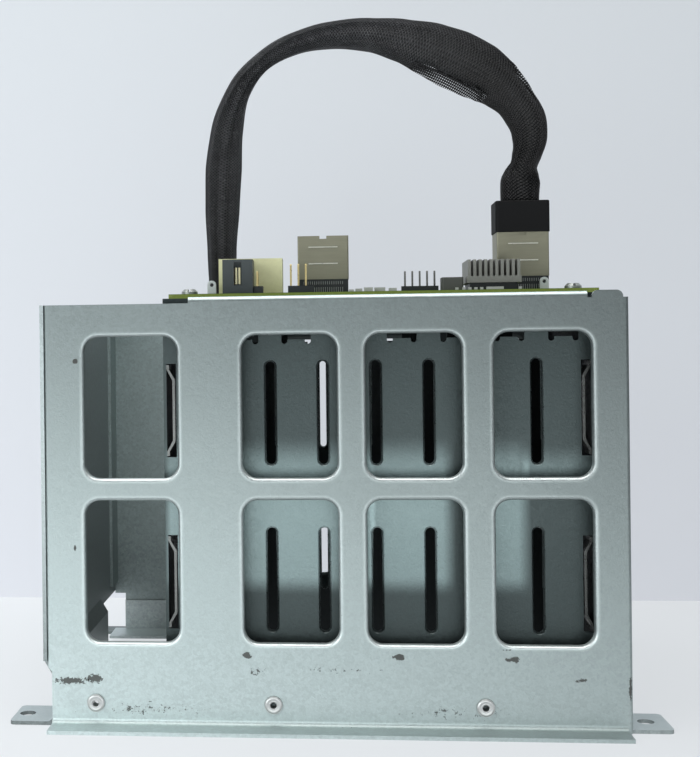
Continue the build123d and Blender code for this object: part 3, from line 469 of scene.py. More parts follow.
def lamp(name, place, aim, width, depth, power, colour):
    """A soft rectangular lamp aimed at a point."""
    data = bpy.data.lights.new(name, "AREA")
    data.shape = "RECTANGLE"
    data.size = width
    data.size_y = depth
    data.energy = power
    data.color = colour
    made = new_object(name, data)
    made.location = place
    made.rotation_euler = (Vector(aim) - Vector(place)).to_track_quat("-Z", "Y").to_euler()


lamp("top_lamp", (-0.1, -0.25, 1.2), (0, -0.02, 0.1), 1.3, 0.8, 9.0, (1.0, 0.985, 0.96))
lamp("left_lamp", (-1.0, -1.1, 0.5), (0, 0, 0.08), 0.9, 0.7, 5.0, (0.93, 0.98, 1.0))
lamp("table_bounce", (-0.03, -0.30, 0.012), (-0.01, -0.20, 0.09), 0.56, 0.26, 1.15, (0.95, 0.99, 1.0))
room_colour = (0.80, 0.86, 0.90, 1)
room_light = 0.30
world = bpy.data.worlds.new("room")
world.use_nodes = True
world.node_tree.nodes["Background"].inputs[0].default_value = room_colour
world.node_tree.nodes["Background"].inputs[1].default_value = room_light
bpy.context.scene.world = world


# Shell, rails and guide plates: cold-rolled sheet with a zinc coat, punched, drawn and folded. The coat is
# dull and finely speckled and scuffed where the tools held it. Each sheet's base tone is set for the light
# it gets, and painted sheen, painted highlights on the bends and painted shade inside the bays are laid over
# it.
def node_group(name, kind, inputs, outputs):
    """A new node group, with what comes in and what goes out of it, from sockets named with their kinds."""
    group = bpy.data.node_groups.new(name, kind)
    for way, sockets in (("INPUT", inputs), ("OUTPUT", outputs)):
        for label, socket in sockets.items():
            group.interface.new_socket(name=label, in_out=way, socket_type="NodeSocket" + socket)
    start = group.nodes.new("NodeGroupInput")
    end = group.nodes.new("NodeGroupOutput")
    return group, start.outputs, end.inputs


def use_group(tree, group, **values):
    """What comes out of a group whose inputs are values or other nodes' outputs."""
    made = node(tree, "ShaderNodeGroup", node_tree=group)
    for name, value in values.items():
        if isinstance(value, bpy.types.NodeSocket):
            tree.links.new(value, made.inputs[name])
        else:
            made.inputs[name].default_value = value
    return made.outputs


def vector_node(tree, operation, *sources):
    """A Vector Math node whose inputs are fixed vectors or other nodes' outputs."""
    made = node(tree, "ShaderNodeVectorMath", operation=operation)
    for index, source in enumerate(sources):
        if isinstance(source, tuple):
            made.inputs[index].default_value = source
        else:
            tree.links.new(source, made.inputs[index])
    return made.outputs["Value" if operation == "LENGTH" else "Vector"]


def coat_group():
    """Speckle, cloud and roughness of a zinc coat, for any of the sheets."""
    inputs = {"Place": "Vector", "Base": "Color", "Speckle": "Float", "Cloud": "Float", "Gloss": "Float"}
    outputs = {"Color": "Color", "Roughness": "Float", "Height": "Float"}
    group, start, end = node_group("zinc_coat", "ShaderNodeTree", inputs, outputs)
    cloud = noise(group, start["Place"], 22.0, 3.0)
    speck = noise(group, start["Place"], 1300.0, 3.0, 0.6)
    crystal = node(group, "ShaderNodeTexVoronoi", [(0, start["Place"])], in_2=900.0)
    cell = node(group, "ShaderNodeSeparateColor", [(0, crystal.outputs["Color"])]).outputs[0]
    fleck = raised(group, math_node(group, "MULTIPLY", speck, 0.7), cell, 0.3)
    fleck = math_node(group, "SUBTRACT", fleck, 0.5)
    drift = math_node(group, "SUBTRACT", cloud, 0.5)
    tone = raised(group, raised(group, 1.0, fleck, start["Speckle"]), drift, start["Cloud"])
    group.links.new(toned(group, start["Base"], tone), end["Color"])
    rough = raised(group, raised(group, start["Gloss"], fleck, 0.34), drift, 0.12)
    group.links.new(rough, end["Roughness"])
    group.links.new(fleck, end["Height"])
    return group


def scuff_group():
    """A ragged mark round one point: how far out it reaches each way, and how broken up it is."""
    inputs = {"Place": "Vector", "Centre": "Vector", "Reach": "Vector", "Grain": "Float", "Cover": "Float"}
    group, start, end = node_group("scuff", "ShaderNodeTree", inputs, {"Mask": "Float"})
    away = vector_node(group, "SUBTRACT", start["Place"], start["Centre"])
    far = vector_node(group, "LENGTH", vector_node(group, "DIVIDE", away, start["Reach"]))
    grain = [(0, start["Place"]), (2, start["Grain"])]
    ragged = node(group, "ShaderNodeTexNoise", grain, in_3=4.0, in_4=0.7).outputs[0]
    left = math_node(group, "ADD", raised(group, start["Cover"], far, -0.55), ragged)
    group.links.new(ramp(group, left, 0.98, 1.06), end["Mask"])
    return group


def rim_group():
    """How near a point is to the drawn edge of one window: the rounded box's own distance, in X and Z."""
    inputs = {"Place": "Vector", "Centre": "Vector", "Half": "Vector", "Corner": "Float"}
    group, start, end = node_group("drawn_rim", "ShaderNodeTree", inputs, {"Distance": "Float"})
    away = vector_node(group, "SUBTRACT", start["Place"], start["Centre"])
    folded = vector_node(group, "ABSOLUTE", vector_node(group, "MULTIPLY", away, (1, 0, 1)))
    past = vector_node(group, "SUBTRACT", folded, start["Half"])
    corner = node(group, "ShaderNodeCombineXYZ", [(0, start["Corner"]), (2, start["Corner"])])
    grown = vector_node(group, "ADD", past, corner.outputs[0])
    far = vector_node(group, "LENGTH", vector_node(group, "MAXIMUM", grown, (0, 0, 0)))
    group.links.new(math_node(group, "SUBTRACT", far, start["Corner"]), end["Distance"])
    return group


zinc_coat = coat_group()
scuff = scuff_group()
drawn_rim = rim_group()
shell_height = 0.134
shell_half_width = 0.091
ear_top = 0.004
lip_foot = 0.1315
bay_count = 8
bays_left = -52.9
bay_pitch = 16.8
bays_middle = (bays_left + bay_count / 2 * bay_pitch) / 1000
bays_half = 0.0674
bays_front = -0.0558
plate_back = 0.0184
window_half = (0.01485, 0, 0.0225)
window_corner = 0.0046
patch_gain = 2.9
rim_highlight_colour = (0.88, 0.94, 0.93)
scuff_colour = (0.07, 0.066, 0.06)


def sheen_tone(tree, across, height, foot, head, right_end, left_end):
    """A painted sheen: a tone that goes from foot to head with height, and from the left end to the right
    one.
    """
    fall = math_node(tree, "POWER", ramp(tree, height, 0.0, shell_height, 1.0, 0.0), 2.0)
    fall = raised(tree, head, fall, foot - head)
    side = ramp(tree, across, -shell_half_width, shell_half_width, left_end, right_end)
    return math_node(tree, "MULTIPLY", fall, side)


def patch_mask(tree, across, height, left, right_end, foot, head):
    """One patch of light with soft edges, from its edges in millimetres."""
    left_edge = ramp(tree, across, (left - 1) / 1000, (left + 1) / 1000)
    right_edge = ramp(tree, across, (right_end + 2) / 1000, (right_end - 2) / 1000)
    foot_edge = ramp(tree, height, (foot - 3) / 1000, (foot + 4) / 1000, ease="SMOOTHSTEP")
    head_edge = ramp(tree, height, (head + 7) / 1000, (head - 7) / 1000, ease="SMOOTHSTEP")
    breadth = math_node(tree, "MULTIPLY", left_edge, right_edge)
    upright = math_node(tree, "MULTIPLY", foot_edge, head_edge)
    return math_node(tree, "MULTIPLY", breadth, upright)


def bay_shade_mask(tree, across, depth, upward, dull_to):
    """Where the painted shade lies: the room of the bays as far back as dull_to, except on faces that are
    turned up.
    """
    from_middle = math_node(tree, "ABSOLUTE", math_node(tree, "SUBTRACT", across, bays_middle))
    in_x = math_node(tree, "LESS_THAN", from_middle, bays_half)
    from_front = math_node(tree, "GREATER_THAN", depth, bays_front)
    in_y = math_node(tree, "MULTIPLY", from_front, math_node(tree, "LESS_THAN", depth, dull_to))
    covered = math_node(tree, "LESS_THAN", upward, 0.5)
    return math_node(tree, "MULTIPLY", math_node(tree, "MULTIPLY", in_x, in_y), covered)


def zinc_sheet(name, base, gloss_value, speckle=0.75, cloud=0.10, **extra):
    """A sheet's finish: the coat and, where the sheet has them, a painted sheen (foot, head, right and left
    tone), how much brighter the painted highlights on its ears' tops (ledge) and its upper lip (crest) are,
    painted lit patches (left, right, foot, head), painted shade inside the bays and how far back that goes
    (dull_to), painted highlights round its windows, and its dark scuffs (centre, reach, grain, cover)."""
    material, tree, gloss = shader(name)
    place = own_place(tree)
    across, depth, height = split(tree, place)
    upward = split(tree, node(tree, "ShaderNodeNewGeometry").outputs["Normal"])[2]
    look = dict(Speckle=speckle, Cloud=cloud, Gloss=gloss_value)
    coat = use_group(tree, zinc_coat, Place=place, Base=(*base, 1), **look)
    colour = coat["Color"]
    rough = coat["Roughness"]
    if "sheen" in extra:
        colour = toned(tree, colour, sheen_tone(tree, across, height, *extra["sheen"]))
    if "ledge" in extra:
        # Painted highlight on the ears' flat tops.
        flat = math_node(tree, "GREATER_THAN", upward, 0.7)
        flat_ear = math_node(tree, "MULTIPLY", flat, math_node(tree, "LESS_THAN", height, ear_top))
        colour = blend_colour(tree, flat_ear, colour, [c * extra["ledge"] for c in base])
    if "lip_highlight" in extra:
        # Painted highlight along the upper lip's bend, where its faces turn up.
        high_up = math_node(tree, "GREATER_THAN", height, lip_foot)
        bright_lip = math_node(tree, "MULTIPLY", ramp(tree, upward, 0.15, 0.6), high_up)
        colour = blend_colour(tree, bright_lip, colour, [c * extra["lip_highlight"] for c in base])
    for edges in extra.get("patches", ()):
        lift = raised(tree, 1.0, patch_mask(tree, across, height, *edges), patch_gain)
        colour = toned(tree, colour, lift)
    # Painted shade inside the bays.
    if "shade" in extra:
        inside = bay_shade_mask(tree, across, depth, upward, extra.get("dull_to", plate_back))
        colour = blend_colour(tree, inside, colour, extra["shade"])
    rims = []
    for x, z in extra.get("windows", ()):
        box = dict(Centre=(x / 1000, 0, z / 1000), Half=window_half, Corner=window_corner)
        rims.append(use_group(tree, drawn_rim, Place=place, **box)["Distance"])
    if rims:
        nearest = rims[0]
        for rim in rims[1:]:
            nearest = math_node(tree, "MINIMUM", nearest, rim)
        # Painted highlight round the windows' drawn rims, brightest on the rims that face up.
        rim_highlight = ramp(tree, nearest, 0.0017, 0.0008)
        bright = math_node(tree, "MULTIPLY", rim_highlight, ramp(tree, upward, 0.05, 0.55, 0.14, 0.9))
        colour = blend_colour(tree, bright, colour, rim_highlight_colour)
        rough = raised(tree, rough, rim_highlight, -0.10)
    for centre, reach, grain, cover in extra.get("scuffs", ()):
        spot = dict(Centre=[c / 1000 for c in centre], Reach=[c / 1000 for c in reach])
        mark = use_group(tree, scuff, Place=place, Grain=grain, Cover=cover, **spot)["Mask"]
        colour = blend_colour(tree, math_node(tree, "MULTIPLY", mark, 0.85), colour, scuff_colour)
        rough = raised(tree, rough, mark, 0.25)
    tree.links.new(colour, gloss.inputs["Base Color"])
    tree.links.new(rough, gloss.inputs["Roughness"])
    gloss.inputs["Metallic"].default_value = 0.72
    bumped(tree, gloss, coat["Height"], 0.22, 0.0003)
    return material


def finish(name, material):
    """Gives a CAD node its finish."""
    target = nodes[name]
    target.data.materials.clear()
    target.data.materials.append(material)


panel_scuffs = (
    ((-83.0, -67.4, 14.6), (8.0, 3, 1.6), 1100.0, 0.86),
    ((-75.5, -67.4, 15.4), (4.0, 3, 2.2), 1000.0, 0.84),
    ((-27.5, -67.0, 23.2), (2.6, 3, 1.5), 420.0, 0.86),
    ((19.9, -67.0, 23.0), (3.0, 3, 1.4), 420.0, 0.88),
    ((55.0, -67.0, 22.7), (3.0, 3, 1.4), 420.0, 0.88),
    ((53.5, -67.0, 25.6), (5.0, 3, 0.8), 900.0, 0.64),
    ((75.6, -67.0, 16.4), (3.6, 3, 1.2), 900.0, 0.74),
    ((-80.8, -67.0, 116.2), (1.0, 3, 1.0), 200.0, 0.95),
    ((-81.5, -67.0, 57.0), (0.5, 3, 1.5), 500.0, 0.85),
    ((90.2, -67.0, 14.5), (1.2, 4, 9.0), 800.0, 0.68),
    ((-60.0, -67.0, 6.0), (70.0, 3, 8.0), 800.0, 0.50),
    ((40.0, -67.0, 6.0), (70.0, 3, 8.0), 800.0, 0.49),
    ((0.0, -67.0, 19.0), (120.0, 3, 7.0), 760.0, 0.44),
    ((-24.0, -67.0, 18.0), (9.0, 3, 4.0), 900.0, 0.56),
    ((0.0, -67.6, 0.9), (120.0, 3, 1.2), 500.0, 0.56),
)
window_columns = (-63.25, -13.0, 25.7, 65.1)
window_heights = (49.3, 101.2)
near_windows = [(x, z) for x in window_columns for z in window_heights]
far_windows = [(x, z) for x in window_columns[1:] for z in window_heights]
# Painted light on the front panel: a painted reflection of the lit table makes it brighter towards the foot
# and the left, with painted highlights on its lip and window rims.
near_look = dict(speckle=0.45, cloud=0.07, lip_highlight=3.2, sheen=(1.98, 0.74, 0.80, 1.20))
near_zinc = zinc_sheet(
    "near_zinc", (0.240, 0.277, 0.275), 0.46, scuffs=panel_scuffs, windows=near_windows, **near_look
)
finish("front_panel", near_zinc)
# The rear panel carries painted shade inside the bays and a painted sheen, brighter towards the top.
far_look = dict(sheen=(0.50, 1.36, 1.0, 1.0), shade=(0.060, 0.070, 0.071), dull_to=0.0664)
finish("rear_panel", zinc_sheet("far_zinc", (0.34, 0.40, 0.395), 0.46, windows=far_windows, **far_look))
side_colour = (0.32, 0.36, 0.36)
# The side sheets' ears carry a painted highlight on their tops.
side_zinc = zinc_sheet("side_zinc", side_colour, 0.46, ledge=1.75)
for name in ("right_side_panel", "front_rail", "rear_rail"):
    finish(name, side_zinc)
# The left side sheet also carries a painted sheen, brighter towards the top.
left_zinc = zinc_sheet("left_zinc", side_colour, 0.46, sheen=(0.62, 1.15, 1.0, 1.0), ledge=1.75)
finish("left_side_panel", left_zinc)
lit_patches = (
    (-53.0, 12.0, 43.0, 85.0),
    (12.0, 37.0, 43.0, 85.0),
    (45.0, 60.5, 43.0, 85.0),
    (60.5, 90.0, 78.0, 82.0),
)
# The guide plates' dark base tone is painted shade, with painted lit patches where light comes through the
# windows.
guide_zinc = zinc_sheet("guide_zinc", (0.046, 0.060, 0.060), 0.42, speckle=0.6, patches=lit_patches)
finish("front_guide_plate", guide_zinc)
# The inner sheets carry painted shade inside the bays, except on faces turned up.
inner_zinc = zinc_sheet("inner_zinc", (0.24, 0.28, 0.28), 0.5, shade=(0.022, 0.027, 0.028))
for name in ("rear_guide_plate", "front_board_shelf", "rear_board_shelf", "left_bay_wall", "right_bay_wall"):
    finish(name, inner_zinc)


# Ribs of both guide plates: each slot stands in a rib drawn into the sheet, so its edge rolls in with a soft
# shoulder all round. The spring strips in the bay walls are bent from bright strip steel, coloured dark as
# painted shade inside the bays.
def slot_shoulder(shape, x, z, half_length, half_width, face_y, inward):
    """A ring round one slot that rolls from the sheet's face down into the rib."""
    rolled = ((0.62, 0.0), (0.60, 0.05), (0.44, 0.13), (0.26, 0.38), (0.12, 0.80), (0.03, 1.12))
    profile = rolled + ((0.03, 1.2), (0.56, 1.2), (0.58, 0.03))
    steps = 48
    proud = 0.04
    rings = []
    for k in range(steps):
        angle = 2 * math.pi * (k + 0.5) / steps
        end = math.copysign(half_length - half_width, math.sin(angle))
        ring = []
        for out, deep in profile:
            reach = half_width + out
            across = x + reach * math.cos(angle)
            place = (across, face_y + inward * (deep - proud), z + end + reach * math.sin(angle))
            ring.append(shape.verts.new([c / 1000 for c in place]))
        rings.append(ring)
    for k, ring in enumerate(rings):
        after = rings[(k + 1) % len(rings)]
        for m in range(len(profile)):
            n = (m + 1) % len(profile)
            shape.faces.new((ring[m], after[m], after[n], ring[n])).smooth = m < len(rolled) - 1


# Each plate's slots: half their length and half their width.
slot_heights = (45.25, 98.75)
near_slot = (16.55, 1.55)
far_slot = (16.10, 1.10)
near_plate_face = -57.0
far_plate_face = 19.0
shape = bmesh.new()
for number in range(1, bay_count):
    x = bays_left + number * bay_pitch
    for z in slot_heights:
        slot_shoulder(shape, x, z, *near_slot, near_plate_face, 1)
        slot_shoulder(shape, x, z, *far_slot, far_plate_face, -1)
shoulders = piece_from(shape, "rib_shoulders")
# The rib shoulders share the guide plates' painted shade and painted lit patches.
shoulder_colour = (0.085, 0.105, 0.105)
shoulder_zinc = zinc_sheet("shoulder_zinc", shoulder_colour, 0.32, speckle=0.3, patches=lit_patches)
shoulders.data.materials.append(shoulder_zinc)
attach(shoulders, "cage")
# The spring strips' dark colour is painted shade inside the bays.
finish("guide_springs", zinc_sheet("spring_strip", (0.13, 0.135, 0.13), 0.32, speckle=0.12))


# Rivets, screws and nuts: small turned and headed fasteners with a bright plated finish. The rivets'
# heads roll out round their bores and lie flat on the panels.
def bare_metal(name, base, gloss_value, grain=1400.0, metallic=0.9):
    """A plain metal finish with fine tool marks."""
    material, tree, gloss = shader(name)
    place = own_place(tree)
    marks = noise(tree, place, grain, 4.0, 0.6)
    stain = noise(tree, place, grain / 6, 2.0)
    mixed = raised(tree, math_node(tree, "MULTIPLY", marks, 0.6), stain, 0.4)
    darker = tuple(c * 0.75 for c in base)
    lighter = tuple(min(c * 1.25, 1) for c in base)
    tree.links.new(blend_colour(tree, mixed, darker, lighter), gloss.inputs["Base Color"])
    tree.links.new(raised(tree, gloss_value - 0.1, mixed, 0.2), gloss.inputs["Roughness"])
    gloss.inputs["Metallic"].default_value = metallic
    bumped(tree, gloss, mixed, 0.12, 0.0002)
    return material


def turned_ring(shape, x, y, z, facing, profile, count=40):
    """A ring turned round the Y direction: its profile is (radius, proud of y) and closes on itself."""
    rings = []
    for k in range(count):
        angle = 2 * math.pi * k / count
        spot = [(x + r * math.cos(angle), y + facing * out, z + r * math.sin(angle)) for r, out in profile]
        rings.append([shape.verts.new([c / 1000 for c in place]) for place in spot])
    for k, ring in enumerate(rings):
        after = rings[(k + 1) % count]
        for m in range(len(profile)):
            n = (m + 1) % len(profile)
            shape.faces.new((ring[m], after[m], after[n], ring[n])).smooth = True


rivet_metal = bare_metal("rivet_metal", (0.52, 0.53, 0.52), 0.34)
finish("shell_rivets", rivet_metal)
panel_face = 67.8
rivet_height = 7.7
near_rivets = (-75.3, -19.0, 46.5)
far_rivets = (-19.0, 46.5)
bore_edge = ((1.02, -0.25), (1.05, 0.02), (1.22, 0.10), (1.45, 0.03), (1.62, 0.03))
outer_lip = ((2.0, 0.17), (2.45, 0.12), (2.76, -0.12), (2.86, -0.5), (2.76, -0.76), (2.6, -0.3))
shape = bmesh.new()
for facing, spots in ((-1, near_rivets), (1, far_rivets)):
    for x in spots:
        turned_ring(shape, x, facing * panel_face, rivet_height, facing, bore_edge + outer_lip)
lips = piece_from(shape, "rivet_lips")
lips.data.materials.append(rivet_metal)
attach(lips, "cage")
plated_steel = bare_metal("plated_steel", (0.42, 0.44, 0.42), 0.40)
finish("board_screws", plated_steel)
finish("clinch_nuts", plated_steel)


# Backplane board: woven glass board under a green mask, with copper lines showing through it as faint
# ridges, and a cut edge where the bare board shows yellower.
board_middle = 0.1372
cut_half = 0.00112
track_scale = 120.0
track_width, track_blur = 0.035, 0.1
track_run, track_pitch = 0.9, 0.12
board_mask, tree, gloss = shader("board_mask")
place = own_place(tree)
sizes = dict(in_4=track_scale, in_5=track_width, in_6=track_blur, in_8=track_run, in_9=track_pitch)
lines = node(tree, "ShaderNodeTexBrick", [(0, place)], **sizes)
weave = noise(tree, place, 1500.0, 2.0)
copper = math_node(tree, "SUBTRACT", 1.0, lines.outputs["Fac"])
off_middle = math_node(tree, "ABSOLUTE", math_node(tree, "SUBTRACT", split(tree, place)[2], board_middle))
skin = math_node(tree, "GREATER_THAN", off_middle, cut_half)
top = blend_colour(tree, copper, (0.060, 0.110, 0.018), (0.105, 0.170, 0.030))
cut = blend_colour(tree, weave, (0.19, 0.27, 0.035), (0.30, 0.36, 0.075))
tree.links.new(blend_colour(tree, skin, cut, top), gloss.inputs["Base Color"])
tree.links.new(raised(tree, 0.30, weave, 0.2), gloss.inputs["Roughness"])
bumped(tree, gloss, math_node(tree, "MULTIPLY", copper, skin), 0.25, 0.0001)
finish("backplane_board", board_mask)


# Solder joints under and round the sockets: rows of small bright cones where the pins come through the
# board. Each row is a comb of joints, set out by its pitch.
def row_tree(name, shape):
    """Geometry nodes that set copies of a small shape in rows: count, pitch and rows, from one corner."""
    inputs = {
        "Start": "Vector",
        "Columns": "Int",
        "Rows": "Int",
        "Column Pitch": "Float",
        "Row Pitch": "Float",
        "Row Direction": "Vector",
        "Size": "Vector",
        "Finish": "Material",
    }
    group, start, end = node_group(name, "GeometryNodeTree", inputs, {"Geometry": "Geometry"})
    count = math_node(group, "MULTIPLY", start["Columns"], start["Rows"])
    line = group.nodes.new("GeometryNodeMeshLine")
    group.links.new(count, line.inputs["Count"])
    line.inputs["Offset"].default_value = (0, 0, 0)
    index = group.nodes.new("GeometryNodeInputIndex").outputs[0]
    row = math_node(group, "FLOOR", math_node(group, "DIVIDE", index, start["Columns"]))
    column = math_node(group, "SUBTRACT", index, math_node(group, "MULTIPLY", row, start["Columns"]))
    side = group.nodes.new("ShaderNodeCombineXYZ")
    group.links.new(math_node(group, "MULTIPLY", column, start["Column Pitch"]), side.inputs[0])
    rise = node(group, "ShaderNodeVectorMath", [(0, start["Row Direction"])], operation="SCALE")
    group.links.new(math_node(group, "MULTIPLY", row, start["Row Pitch"]), rise.inputs["Scale"])
    place = vector_node(group, "ADD", side.outputs[0], rise.outputs[0])
    place = vector_node(group, "ADD", place, start["Start"])
    moved = group.nodes.new("GeometryNodeSetPosition")
    group.links.new(line.outputs[0], moved.inputs["Geometry"])
    group.links.new(place, moved.inputs["Position"])
    if shape == "bar":
        item = group.nodes.new("GeometryNodeMeshCube")
        group.links.new(start["Size"], item.inputs["Size"])
    else:
        cone = group.nodes.new("GeometryNodeMeshCone")
        cone.inputs["Vertices"].default_value = 10
        cone.inputs["Radius Top"].default_value = 0.25
        cone.inputs["Radius Bottom"].default_value = 1.0
        cone.inputs["Depth"].default_value = 1.0
        item = group.nodes.new("GeometryNodeTransform")
        group.links.new(cone.outputs[0], item.inputs["Geometry"])
        group.links.new(start["Size"], item.inputs["Scale"])
    copies = group.nodes.new("GeometryNodeInstanceOnPoints")
    group.links.new(moved.outputs[0], copies.inputs["Points"])
    group.links.new(item.outputs[0], copies.inputs["Instance"])
    real = group.nodes.new("GeometryNodeRealizeInstances")
    group.links.new(copies.outputs[0], real.inputs[0])
    painted = group.nodes.new("GeometryNodeSetMaterial")
    group.links.new(real.outputs[0], painted.inputs["Geometry"])
    group.links.new(start["Finish"], painted.inputs["Material"])
    group.links.new(painted.outputs[0], end[0])
    return group


joint_rows = row_tree("rows_of_joints", "cone")
bar_rows = row_tree("rows_of_bars", "bar")
backwards = (0, 1, 0)
upwards = (0, 0, 1)


def rows(
    name,
    tree_used,
    material,
    start,
    size,
    columns=1,
    pitch=1,
    count=1,
    row_pitch=1,
    row_way=upwards,
    slot_name="gold_contact",
):
    """One piece of repeated small shapes, made plain and set on the cage. Lengths are in millimetres."""
    holder = new_object(name, bpy.data.meshes.new(name))
    modifier = holder.modifiers.new("rows", "NODES")
    modifier.node_group = tree_used
    values = {
        "Start": [c / 1000 for c in start],
        "Columns": columns,
        "Rows": count,
        "Column Pitch": pitch / 1000,
        "Row Pitch": row_pitch / 1000,
        "Row Direction": row_way,
        "Size": [c / 1000 for c in size],
        "Finish": material,
    }
    for item in tree_used.interface.items_tree:
        if item.in_out == "INPUT":
            modifier[item.identifier] = values[item.name]
    bpy.context.view_layer.update()
    graph = bpy.context.evaluated_depsgraph_get()
    mesh = bpy.data.meshes.new_from_object(holder.evaluated_get(graph))
    holder.modifiers.remove(modifier)
    old = holder.data
    holder.data = mesh
    bpy.data.meshes.remove(old)
    if material.name not in mesh.materials:
        mesh.materials.clear()
        mesh.materials.append(material)
    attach(holder, "cage")


solder = bare_metal("solder", (0.62, 0.63, 0.62), 0.34, grain=900.0)
board_top = 138.4
data_sockets = (-1.9, 67.8)
two_rows = dict(columns=18, pitch=1.0, count=2, row_pitch=1.6, row_way=backwards)
for number, x in enumerate(data_sockets, start=1):
    corner = (x - 8.5, 1.0, board_top + 0.15)
    rows(f"data_joints_{number}", joint_rows, solder, corner, (0.28, 0.28, 0.5), **two_rows)
two_columns = dict(columns=2, pitch=1.6, count=22, row_pitch=1.27, row_way=backwards)
for number in range(1, 4):
    x = bays_left + (number - 0.5) * bay_pitch
    corner = (x - 0.8, -12.0, board_top + 0.12)
    rows(f"drive_joints_{number}", joint_rows, solder, corner, (0.34, 0.34, 0.45), **two_columns)


# Drive sockets under the board: black moulded housings, one to a bay, with gold contacts down both sides
# of a tongue. They are soldered to the board from below.
def moulding(name, base, gloss_value=0.5, grain=700.0, bump=0.18, shine=0.5):
    """A moulded plastic: slightly uneven colour and a fine pebbled skin."""
    material, tree, gloss = shader(name)
    place = own_place(tree)
    skin = noise(tree, place, grain, 4.0, 0.65)
    flow = noise(tree, place, 90.0, 2.0)
    darker = tuple(c * 0.82 for c in base)
    lighter = tuple(min(c * 1.22 + 0.002, 1) for c in base)
    tone = raised(tree, math_node(tree, "MULTIPLY", skin, 0.5), flow, 0.5)
    tree.links.new(blend_colour(tree, tone, darker, lighter), gloss.inputs["Base Color"])
    tree.links.new(raised(tree, gloss_value - 0.08, skin, 0.16), gloss.inputs["Roughness"])
    gloss.inputs["Specular IOR Level"].default_value = shine
    bumped(tree, gloss, skin, bump, 0.00015)
    return material


black_moulding = moulding("black_moulding", (0.022, 0.026, 0.028), 0.46)
gold = bare_metal("gold_contact", (0.72, 0.58, 0.28), 0.3, grain=1600.0)
tongue_contacts = dict(columns=2, pitch=1.56, count=29, row_pitch=1.27, row_way=backwards)
for number in range(1, bay_count + 1):
    finish(f"drive_socket_{number}", black_moulding)
    x = bays_left + (number - 0.5) * bay_pitch
    corner = (x - 0.78, -22.6, 131.6)
    rows(f"drive_contacts_{number}", bar_rows, gold, corner, (0.22, 0.6, 4.2), **tongue_contacts)


# Data receptacles: a plated shell, pressed with two bars, round a black core whose foot shows a comb of
# contact legs on its near side. Bright strips on the two pressed bars are painted highlights.
def shell_metal(name, base):
    """The shells' warm grey plating, brushed across, with soft stains."""
    material, tree, gloss = shader(name)
    place = own_place(tree)
    stretched = node(tree, "ShaderNodeMapping", [(0, place)])
    stretched.inputs["Scale"].default_value = (140.0, 900.0, 1500.0)
    brushed = noise(tree, stretched.outputs[0], 1.0, 4.0, 0.6)
    stain = noise(tree, place, 120.0, 3.0)
    tone = raised(tree, math_node(tree, "MULTIPLY", brushed, 0.5), stain, 0.5)
    darker = tuple(c * 0.8 for c in base)
    lighter = tuple(c * 1.2 for c in base)
    tree.links.new(blend_colour(tree, tone, darker, lighter), gloss.inputs["Base Color"])
    tree.links.new(raised(tree, 0.34, tone, 0.16), gloss.inputs["Roughness"])
    gloss.inputs["Metallic"].default_value = 0.75
    bumped(tree, gloss, tone, 0.08, 0.0001)
    return material


warm_shell = shell_metal("socket_shell", (0.28, 0.27, 0.20))
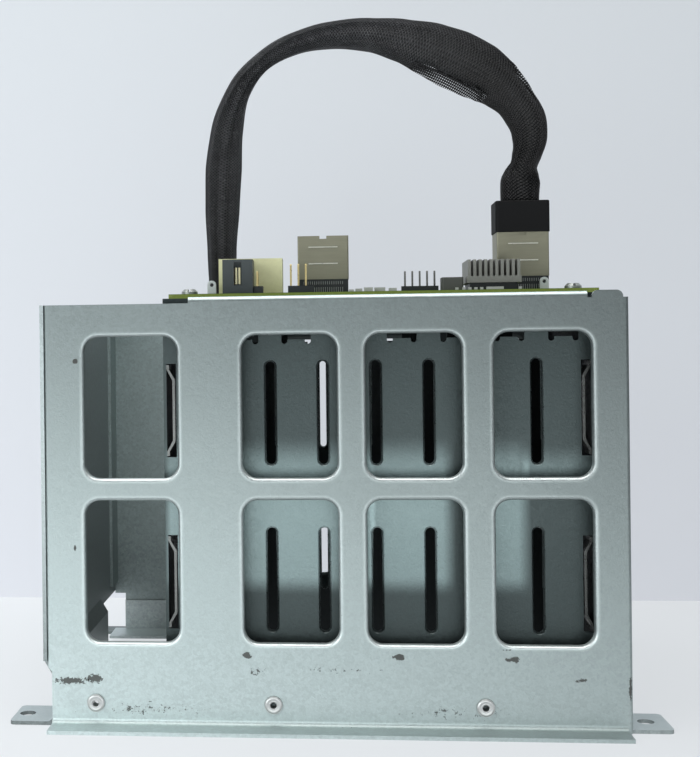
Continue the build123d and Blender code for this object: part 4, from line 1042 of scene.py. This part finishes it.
# A lighter copy of the plating, used for painted highlights on the pressed bars.
bar_highlight_metal = bare_metal("bar_highlight_metal", (0.80, 0.79, 0.70), 0.30)
contact_leg = bare_metal("contact_leg", (0.34, 0.35, 0.34), 0.38)
leg_comb = dict(columns=19, pitch=0.76)
bead_pair = dict(count=2, row_pitch=5.85, slot_name="socket_shell")
for number, x in enumerate(data_sockets, start=1):
    finish(f"data_shell_{number}", warm_shell)
    finish(f"data_core_{number}", black_moulding)
    corner = (x - 6.9, -12.87, board_top + 1.9)
    rows(f"contact_legs_{number}", bar_rows, contact_leg, corner, (0.24, 0.3, 1.9), **leg_comb)
    # Painted highlight: bright strips laid on each shell's pressed bars.
    corner = (x, -13.42, 149.64)
    rows(f"shell_bar_highlights_{number}", bar_rows, bar_highlight_metal, corner, (10.3, 0.3, 0.36), **bead_pair)
    corner = (x - 6.9, -12.86, board_top + 4.4)
    rows(f"contact_tips_{number}", bar_rows, contact_leg, corner, (0.2, 0.22, 1.1), **leg_comb)


# Cable plugs: a black overmoulded head on a folded metal insert, and at its back a stamped steel latch
# on a pin.
plug_black = moulding("plug_moulding", (0.0026, 0.0027, 0.0032), 0.66, grain=900.0, bump=0.12, shine=0.20)
latch_steel = bare_metal("latch_steel", (0.50, 0.50, 0.47), 0.32)
for prefix in ("", "spare_"):
    finish(prefix + "plug_head", plug_black)
    finish(prefix + "plug_insert", warm_shell)
    finish(prefix + "plug_latch", latch_steel)
    finish(prefix + "plug_pin", latch_steel)


# Power and pin headers: black and ivory nylon housings with square gold pins. Two cream contact strips
# stand behind the black one's key slot.
grey_black = moulding("header_grey", (0.045, 0.056, 0.058), 0.42)
finish("black_power_header", grey_black)
finish("ivory_power_header", moulding("ivory_nylon", (0.90, 0.86, 0.50), 0.42))
for name in ("fan_header", "long_header", "jumper_header"):
    finish(name + "_base", black_moulding)
for name in ("power_pins", "fan_header_pins", "jumper_header_pins"):
    finish(name, gold)
finish("long_header_pins", bare_metal("pin_in_shade", (0.20, 0.20, 0.19), 0.34))
cream = bare_metal("contact_cream", (0.80, 0.74, 0.46), 0.4, metallic=0.3)
rows("key_contacts", bar_rows, cream, (-31.35, -34.6, 144.4), (0.6, 0.5, 5.6), columns=2, pitch=1.05)


# Chip, heat sink, choke, clips and small parts: an extruded bare sink on a black chip, a ferrite block,
# nylon arches and rows of ceramic parts.
finish("expander_chip", black_moulding)
finish("heat_sink", bare_metal("sink_aluminium", (0.25, 0.25, 0.225), 0.46, grain=600.0, metallic=0.6))
finish("choke", moulding("ferrite_grey", (0.085, 0.088, 0.078), 0.6, grain=500.0, bump=0.4))
finish("board_clips", moulding("white_nylon", (0.66, 0.70, 0.70), 0.35))
finish("surface_parts", moulding("white_ceramic", (0.52, 0.53, 0.50), 0.3))
